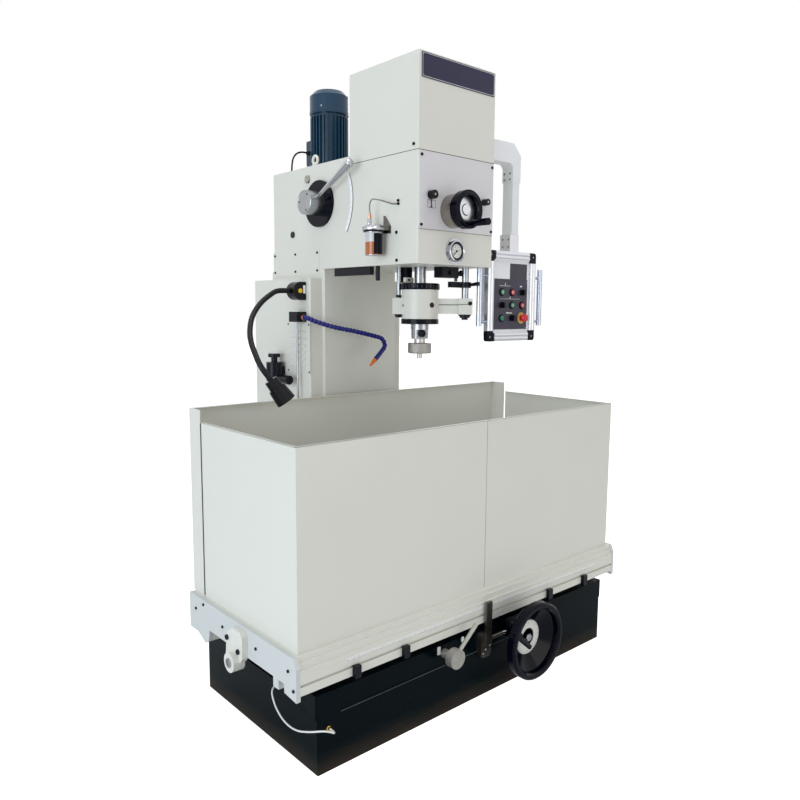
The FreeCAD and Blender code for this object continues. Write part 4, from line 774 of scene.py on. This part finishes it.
# Free cords
MOTOR_CABLE = [(-0.035, 0.737, 2.232), (-0.079, 0.737, 2.236), (-0.127, 0.723, 2.212), (-0.157, 0.701, 2.168),
               (-0.161, 0.695, 2.117)]
item, length = cable("motor_lead", "motor_cable", RUBBER, MOTOR_CABLE, 0.004)
print("motor lead", length)
OIL_TUBE = [(-0.795, -0.172, 0.236), (-0.830, -0.172, 0.236), (-0.841, -0.206, 0.196),
            (-0.838, -0.256, 0.155), (-0.831, -0.320, 0.144), (-0.820, -0.392, 0.168),
            (-0.785, -0.432, 0.178), (-0.750, -0.442, 0.157), (-0.750, -0.402, 0.157)]
item, length = cable("lubrication_tube", "oil_tube", WHITE, OIL_TUBE, 0.003)
print("oil tube", length)
turned("lubrication_unions", "frame", BRASS, [(0.009, 0.0), (0.009, 0.007), (0.006, 0.009), (0.006, 0.016)],
       [(-0.750, -0.387, 0.155)], FRONT, 6, angle=20)
turned("lubrication_union_left", "frame", BRASS,
       [(0.009, 0.0), (0.009, 0.006), (0.006, 0.008), (0.006, 0.012)], [OIL_TUBE[0]], LEFT, 6, angle=20)

# Bed front: small plugs, a painted highlight along the step's top edge, knob behind the handwheel, index
# plate screws and rod end
BED_FRONT = -0.387
plate("bed_plug_left", "frame", WHITE, (-0.247, BED_FRONT, 0.259), FRONT, Z, 0.014, 0.031, 0.004, 0.003)
plate("bed_plug_right", "frame", WHITE, (-0.122, BED_FRONT, 0.266), FRONT, Z, 0.012, 0.020, 0.004, 0.003)
# Painted highlight: a thin light bar along the top edge of the bed's step.
bars("bed_step_line", "frame", STEP_HIGHLIGHT, [(-0.700, -0.3932, 0.1945)], X, Z, FRONT, (1.100, 0.0016, 0.0004))
turned("bed_knob", "frame", BLACK,
       [(0.008, 0.0), (0.008, 0.010), (0.014, 0.014), (0.014, 0.026), (0.010, 0.030)],
       [(0.135, BED_FRONT, 0.256)], FRONT, 28)
button_screws("index_plate_screws", "frame", STEEL,
              [(-0.030, -0.413, 0.188), (-0.016, -0.413, 0.200), (0.008, -0.413, 0.212)], FRONT,
              0.0045, 0.003)
turned("index_rod_end", "frame", CHROME, [(0.0074, 0.0), (0.0074, 0.020), (0.0060, 0.0235), (0.0030, 0.0250)],
       [(0.083, -0.409, 0.238)], X, 24)

# Table: scale strip with marks, screws of the end plates and of the bracket
plate("table_scale_strip", "table", WHITE, (0.020, -0.399, 0.3660), FRONT, Z, 1.404, 0.016, 0.0012, 0.001)
marks = np.linspace(-0.678, 0.718, 280)
tall = np.where(np.arange(280) % 10 == 0, 0.010, np.where(np.arange(280) % 5 == 0, 0.0075, 0.005))
bars("table_scale_marks", "table", INK_AND_SHADE, side_by_side(marks, -0.4002, 0.3595), X, Z, FRONT,
     side_by_side(0.0007, tall, 0.0002))
END_SCREWS = [(0.285, 0.379), (0.223, 0.412), (0.076, 0.376), (-0.157, 0.379), (-0.355, 0.378),
              (-0.385, 0.323)]
for side, outwards, x in (("left", LEFT, -0.876), ("right", X, 0.876)):
    socket_screws("end_plate_screws_" + side, "table", BLACK_PAINT, [(x, y, z) for y, z in END_SCREWS],
                  outwards, 0.0055, 0.004)
socket_screws("bracket_screws", "table", BLACK_PAINT, [(-0.898, 0.000, 0.372), (-0.898, -0.076, 0.345)], LEFT,
              0.0095, 0.006)
turned("bracket_bore", "table", STEEL, [(0.017, 0.0), (0.017, 0.003), (0.012, 0.003), (0.012, 0.0005)],
       [(-0.920, -0.048, 0.302)], LEFT, 32)

# Tray: seam of the front sheets, gap at the rear corner and the hems along the top
HEM_Z = 1.0895
HEM_END = (0.621, 0.008, 0.0022)
plate("tray_front_seam", "table", INK_AND_SHADE, (0.015, -0.370, 0.760), FRONT, Z, 0.0012, 0.656, 0.0003,
      0.0004, bevel=0.0001)
bars("tray_corner_gap", "table", INK_AND_SHADE, [(-0.8504, 0.2570, 0.432)], Y, Z, LEFT, (0.0085, 0.655, 0.0003))
bars("tray_hems", "table", CREAM, [(-0.850, -0.370, HEM_Z), (-0.850, -0.364, HEM_Z), (0.842, -0.364, HEM_Z)],
     [X, Y, Y], [Y, X, X], Z, [(1.700, 0.008, 0.0022), HEM_END, HEM_END])

# Table handwheel: white ring with marks on the web
WHEEL = np.array([0.146, -0.484, 0.229])
RING_THICK = 0.0036
turned("handwheel_ring", "table_handwheel", WHITE,
       [(0.036, 0.0), (0.036, 0.0030), (0.0365, RING_THICK), (0.0675, RING_THICK), (0.068, 0.0030),
        (0.068, 0.0)], [WHEEL], FRONT, 64)
spoke, rise = spokes(np.linspace(0, 2 * math.pi, 40, endpoint=False), X, Z)
length = np.where(np.arange(40) % 5 == 0, 0.011, 0.006)
bars("handwheel_ring_marks", "table_handwheel", INK_AND_SHADE,
     WHEEL + spoke * (0.066 - length[:, None]) + np.array([0, -RING_THICK, 0]), spoke, rise, FRONT,
     side_by_side(length, 0.0011, 0.0002))
turned("handwheel_nut", "table_handwheel", STEEL,
       [(0.017, 0.0), (0.017, 0.010), (0.015, 0.012), (0.006, 0.012)], [WHEEL], FRONT, 6, angle=20)

# Spindle carriage: plugs and slit of the arm, bands, nuts and the trip pieces above it
ARM_NORMAL = (-0.6428, -0.7660, 0)
ARM_ALONG = (0.7660, -0.6428, 0)
PISTON_X = -0.06665
PISTON_Y = 0.05592
turned("quill_plug", "spindle_carriage", BLACK, [(0.0105, -0.004), (0.0105, 0.003), (0.0090, 0.0045)],
       [(-0.0041, -0.0740, 1.526)], (-0.054, -0.9985, 0), 28)
turned("arm_end_plug", "spindle_carriage", BLACK, [(0.0080, -0.004), (0.0080, 0.006), (0.0066, 0.0076)],
       [(0.1373, -0.1517, 1.534)], ARM_NORMAL, 24)
bars("arm_slit", "spindle_carriage", INK_AND_SHADE, [(0.0455, -0.0634, 1.5262), (0.1015, -0.1217, 1.5285)],
     ARM_ALONG, Z, ARM_NORMAL, [(0.080, 0.0030, 0.0004), (0.040, 0.0026, 0.0004)])
turned("upper_band", "spindle_carriage", ENAMEL,
       [(0.0257, 0.0), (0.0790, 0.0), (0.0797, 0.0015), (0.0797, 0.0235), (0.0780, 0.0250), (0.0257, 0.0250),
        (0.0257, 0.0)], [(0, 0, 1.5882)], Z, 72)
turned("lower_band", "spindle_carriage", ENAMEL,
       [(0.0745, 0.0), (0.0762, 0.0), (0.0770, 0.0010), (0.0770, 0.0200), (0.0745, 0.0210), (0.0745, 0.0)],
       [(0, 0, 1.4495)], Z, 72)
spoke, rise = spokes(np.linspace(0, 2 * math.pi, 28, endpoint=False), X, Y)
bars("upper_band_ticks", "spindle_carriage", PANEL, spoke * 0.0796 + np.array([0, 0, 1.594]), Z, rise, spoke,
     (0.012, 0.0030, 0.0004))
turned("arm_nut", "spindle_carriage", BLACK_PAINT,
       [(0.0255, 0.0), (0.0255, -0.0065), (0.0205, -0.0075), (0.0205, -0.0135), (0.0125, -0.0145),
        (0.0125, -0.0215)], [(0.14095, -0.11827, 1.4888)], Z, 28)
turned("piston_nut", "spindle_carriage", BLACK_PAINT,
       [(0.0165, 0.0), (0.0165, -0.0075), (0.0125, -0.0095), (0.0125, -0.0135)],
       [(PISTON_X, PISTON_Y, 1.4888)], Z, 28)
turned("piston_collar", "spindle_carriage", BLACK_PAINT,
       [(0.0086, 0.0), (0.0112, 0.0), (0.0112, 0.0110), (0.0086, 0.0110), (0.0086, 0.0)],
       [(PISTON_X, PISTON_Y, 1.5560)], Z, 28)
plate("oil_feed_block", "frame", CREAM, (-0.036, 0.038, 1.6265), FRONT, Z, 0.044, 0.021, 0.014, 0.003)
turned("oil_feed_plug", "frame", BLACK, [(0.0050, 0.0), (0.0050, 0.002), (0.0040, 0.003)],
       [(-0.040, 0.024, 1.6275)], FRONT, 20)
turned("trip_lever_knobs", "frame", BLACK,
       [(0.0100 * math.sin(a), -0.0100 * math.cos(a)) for a in np.radians(np.linspace(8, 172, 11))],
       [(0.1225, -0.084, 1.656), (0.1500, -0.084, 1.660)], Z, 20, angle=60)
turned("trip_spring", "frame", STEEL,
       [(0.0078 - 0.0014 * (k % 2), 0.0017 * k) for k in range(13)], [(0.121, -0.084, 1.6235)], Z, 20)
socket_screws("left_bracket_screw", "spindle_carriage", STEEL, [(-0.0722, 0.0201, 1.5242)],
              (-0.963, 0.268, 0), 0.0050, 0.004)
turned("nose_pin_plug", "spindle", ENAMEL,
       [(0.0150, -0.002), (0.0150, 0.0010), (0.0125, 0.0025), (0.0060, 0.0030)],
       [(-0.003, -0.0230, 1.411)], FRONT, 36)

# Pendant: plates, bezels, marks, screws, ribs and handle tubes
PANEL_FACE = -0.172
FRAME_FACE = -0.178
COLUMNS = (0.306, 0.371, 0.436)
ROWS = (1.583, 1.529, 1.475)
RINGED = (("start", 0, 0), ("halt", 1, 0), ("rise", 1, 1), ("lower", 2, 1))
BEZELS = [(COLUMNS[column], PANEL_FACE, ROWS[row])
          for column, row in ((0, 0), (0, 2), (1, 0), (1, 1), (2, 1))]
plate("pendant_blank_plate", "pendant", PANEL, (0.4130, -0.170, 1.6700), FRONT, Z,
      0.110, 0.066, 0.0015, 0.002)
plate("panel_film", "pendant", PANEL, (0.3605, PANEL_FACE, 1.5325), FRONT, Z, 0.2215, 0.2100, 0.0004, 0.002,
      bevel=0.0001)
turned("control_bezels", "pendant", ENAMEL,
       [(0.0115, 0.0), (0.0115, 0.0045), (0.0122, 0.0052), (0.0150, 0.0048), (0.0162, 0.0030), (0.0162, 0.0),
        (0.0115, 0.0)], BEZELS, FRONT, 36)
turned("stop_ring", "pendant", STOP_RING,
       [(0.0118, -0.001), (0.0118, 0.0012), (0.0230, 0.0012), (0.0240, 0.0004), (0.0240, -0.001)],
       [(COLUMNS[2], PANEL_FACE, ROWS[2])], FRONT, 48)
MARKS = [(0.2910, 1.6085, 0.069, 0.0014), (0.3260, 1.6110, 0.0035, 0.0100), (0.4220, 1.6060, 0.0140, 0.0050),
         (0.2960, 1.5545, 0.126, 0.0012), (0.3580, 1.5570, 0.0040, 0.0080), (0.3360, 1.4940, 0.0120, 0.0045),
         (0.3500, 1.4940, 0.0080, 0.0045), (0.3600, 1.4940, 0.0130, 0.0045)]
bars("panel_marks", "pendant", WHITE, [(x, -0.17245, z) for x, z, _, _ in MARKS], X, Z, FRONT,
     [(wide, high, 0.0002) for _, _, wide, high in MARKS])
for name, column, row in RINGED:
    turned(name + "_button_ring", name + "_button", WHITE,
           [(0.0034, 0.0), (0.0034, 0.0003), (0.0054, 0.0003), (0.0054, 0.0)],
           [(COLUMNS[column], -0.179, ROWS[row])], FRONT, 28)
for name, body, levels in (("coupling_screws", "pendant", (1.772, 1.802)),
                           ("elbow_screws", "frame", (2.046, 2.070))):
    button_screws(name, body, DARK_STEEL, [(0.344, -0.153 + u, z) for u in (-0.015, 0.015) for z in levels],
                  LEFT, 0.0042, 0.002)
button_screws("pendant_corner_screws", "pendant", STEEL,
              [(x, FRAME_FACE, z) for x in (0.232, 0.501) for z in (1.396, 1.734)], FRONT, 0.004, 0.002)
for side, x, top in (("left", 0.173, 1.679), ("right", 0.560, 1.685)):
    turned("handle_tube_" + side, "pendant", HANDLE,
           [(0.0100, 0.0), (0.0113, 0.0015), (0.0113, top - 1.4435), (0.0100, top - 1.4420)],
           [(x, -0.168, 1.442)], Z, 32)
ridges("frame_ribs", "pendant", ALUMINIUM,
       [[(x, FRAME_FACE, 1.4225), (x, FRAME_FACE, 1.7075)] for x in (0.2245, 0.2400, 0.4930, 0.5085)]
       + [[(0.2585, FRAME_FACE, z), (0.4745, FRAME_FACE, z)] for z in (1.3885, 1.4040, 1.7260, 1.7415)],
       FRONT, 0.0135, 0.0028)
button_screws("panel_screws", "pendant", STEEL,
              [(x, PANEL_FACE, z) for x in (0.256, 0.465) for z in (1.434, 1.625)], FRONT, 0.003, 0.0015)

# Studio: a pale floor that glows only where the camera sees it
FLOOR_HALF = 30
FLOOR_GLOW = 0.85
floor_shade = Shade("studio_floor", Roughness=0.9, Emission_Color=(1, 1, 1, 1))
floor_cloud = floor_shade.noise(2.0) * 0.2
floor_shade.set(Base_Color=floor_shade.mix(floor_cloud, tone(236, 236, 235), tone(230, 230, 229)))
floor_seen = floor_shade.put("LightPath")
floor_shade.set(Emission_Strength=floor_seen * FLOOR_GLOW)
ground = bpy.data.meshes.new("studio_floor")
ground.from_pydata([(-FLOOR_HALF, -FLOOR_HALF, 0), (FLOOR_HALF, -FLOOR_HALF, 0), (FLOOR_HALF, FLOOR_HALF, 0),
                    (-FLOOR_HALF, FLOOR_HALF, 0)], [], [(0, 1, 2, 3)])
ground.materials.append(floor_shade.material)
floor = bpy.data.objects.new("studio_floor", ground)
bpy.context.scene.collection.objects.link(floor)

# World: white for the camera and for mirror rays, a soft cool grey for the light on the part
GLOSSY_SHARE = 1.0
SOFT_STRENGTH = 0.47
world = bpy.data.worlds.new("studio_air")
world.use_nodes = True
bpy.context.scene.world = world
tree = world.node_tree
tree.nodes.clear()
paths = tree.nodes.new("ShaderNodeLightPath")
plain = tree.nodes.new("ShaderNodeBackground")
plain.inputs["Color"].default_value = (1, 1, 1, 1)
plain.inputs["Strength"].default_value = 1.0
soft = tree.nodes.new("ShaderNodeBackground")
soft.inputs["Color"].default_value = (0.93, 0.96, 1.0, 1)
soft.inputs["Strength"].default_value = SOFT_STRENGTH
either = tree.nodes.new("ShaderNodeMixShader")
sky = tree.nodes.new("ShaderNodeOutputWorld")
shine = tree.nodes.new("ShaderNodeMath")
shine.operation = "MULTIPLY_ADD"
shine.use_clamp = True
shine.inputs[1].default_value = GLOSSY_SHARE
tree.links.new(paths.outputs["Is Glossy Ray"], shine.inputs[0])
tree.links.new(paths.outputs["Is Camera Ray"], shine.inputs[2])
tree.links.new(shine.outputs[0], either.inputs[0])
tree.links.new(soft.outputs[0], either.inputs[1])
tree.links.new(plain.outputs[0], either.inputs[2])
tree.links.new(either.outputs[0], sky.inputs[0])


def lamp(name, place, target, width, power, colour=(1, 1, 1)):
    """A square soft light at a place, aimed at a point."""
    light = bpy.data.lights.new(name, "AREA")
    light.shape = "SQUARE"
    light.size = width
    light.energy = power
    light.color = colour
    item = bpy.data.objects.new(name, light)
    item.location = place
    item.rotation_euler = (Vector(target) - Vector(place)).to_track_quat("-Z", "Y").to_euler()
    bpy.context.scene.collection.objects.link(item)


lamp("key_left", (-5.0, -0.8, 1.6), (0, 0.2, 1.1), 3.0, 108, (0.80, 0.91, 1.0))
lamp("fill_front", (1.0, -4.3, 0.55), (0, 0, 0.7), 3.0, 42, (1.0, 0.97, 0.90))
lamp("top_soft", (-0.2, -0.6, 5.4), (0, 0.0, 0), 3.2, 84)
lamp("rear_right", (3.6, 3.4, 3.4), (0, 0.2, 1.4), 2.4, 36)

# Camera at the photograph's place
CAMERA_PLACE = (-2.049, -2.214, 1.507)
CAMERA_YAW = math.radians(41.28)
CAMERA_PITCH = math.radians(7.05)
CAMERA_ROLL = math.radians(0.39)
camera_data = bpy.data.cameras.new("photo_camera")
camera_data.sensor_width = 36
camera_data.lens = 32.87
camera = bpy.data.objects.new("photo_camera", camera_data)
camera.location = CAMERA_PLACE
camera.rotation_mode = "XYZ"
turn = Matrix.Rotation(-CAMERA_YAW, 3, "Z") @ Matrix.Rotation(math.pi / 2 - CAMERA_PITCH, 3, "X")
camera.rotation_euler = (turn @ Matrix.Rotation(CAMERA_ROLL, 3, "Z")).to_euler()
bpy.context.scene.collection.objects.link(camera)
bpy.context.scene.camera = camera
bpy.context.scene.view_settings.view_transform = "Standard"
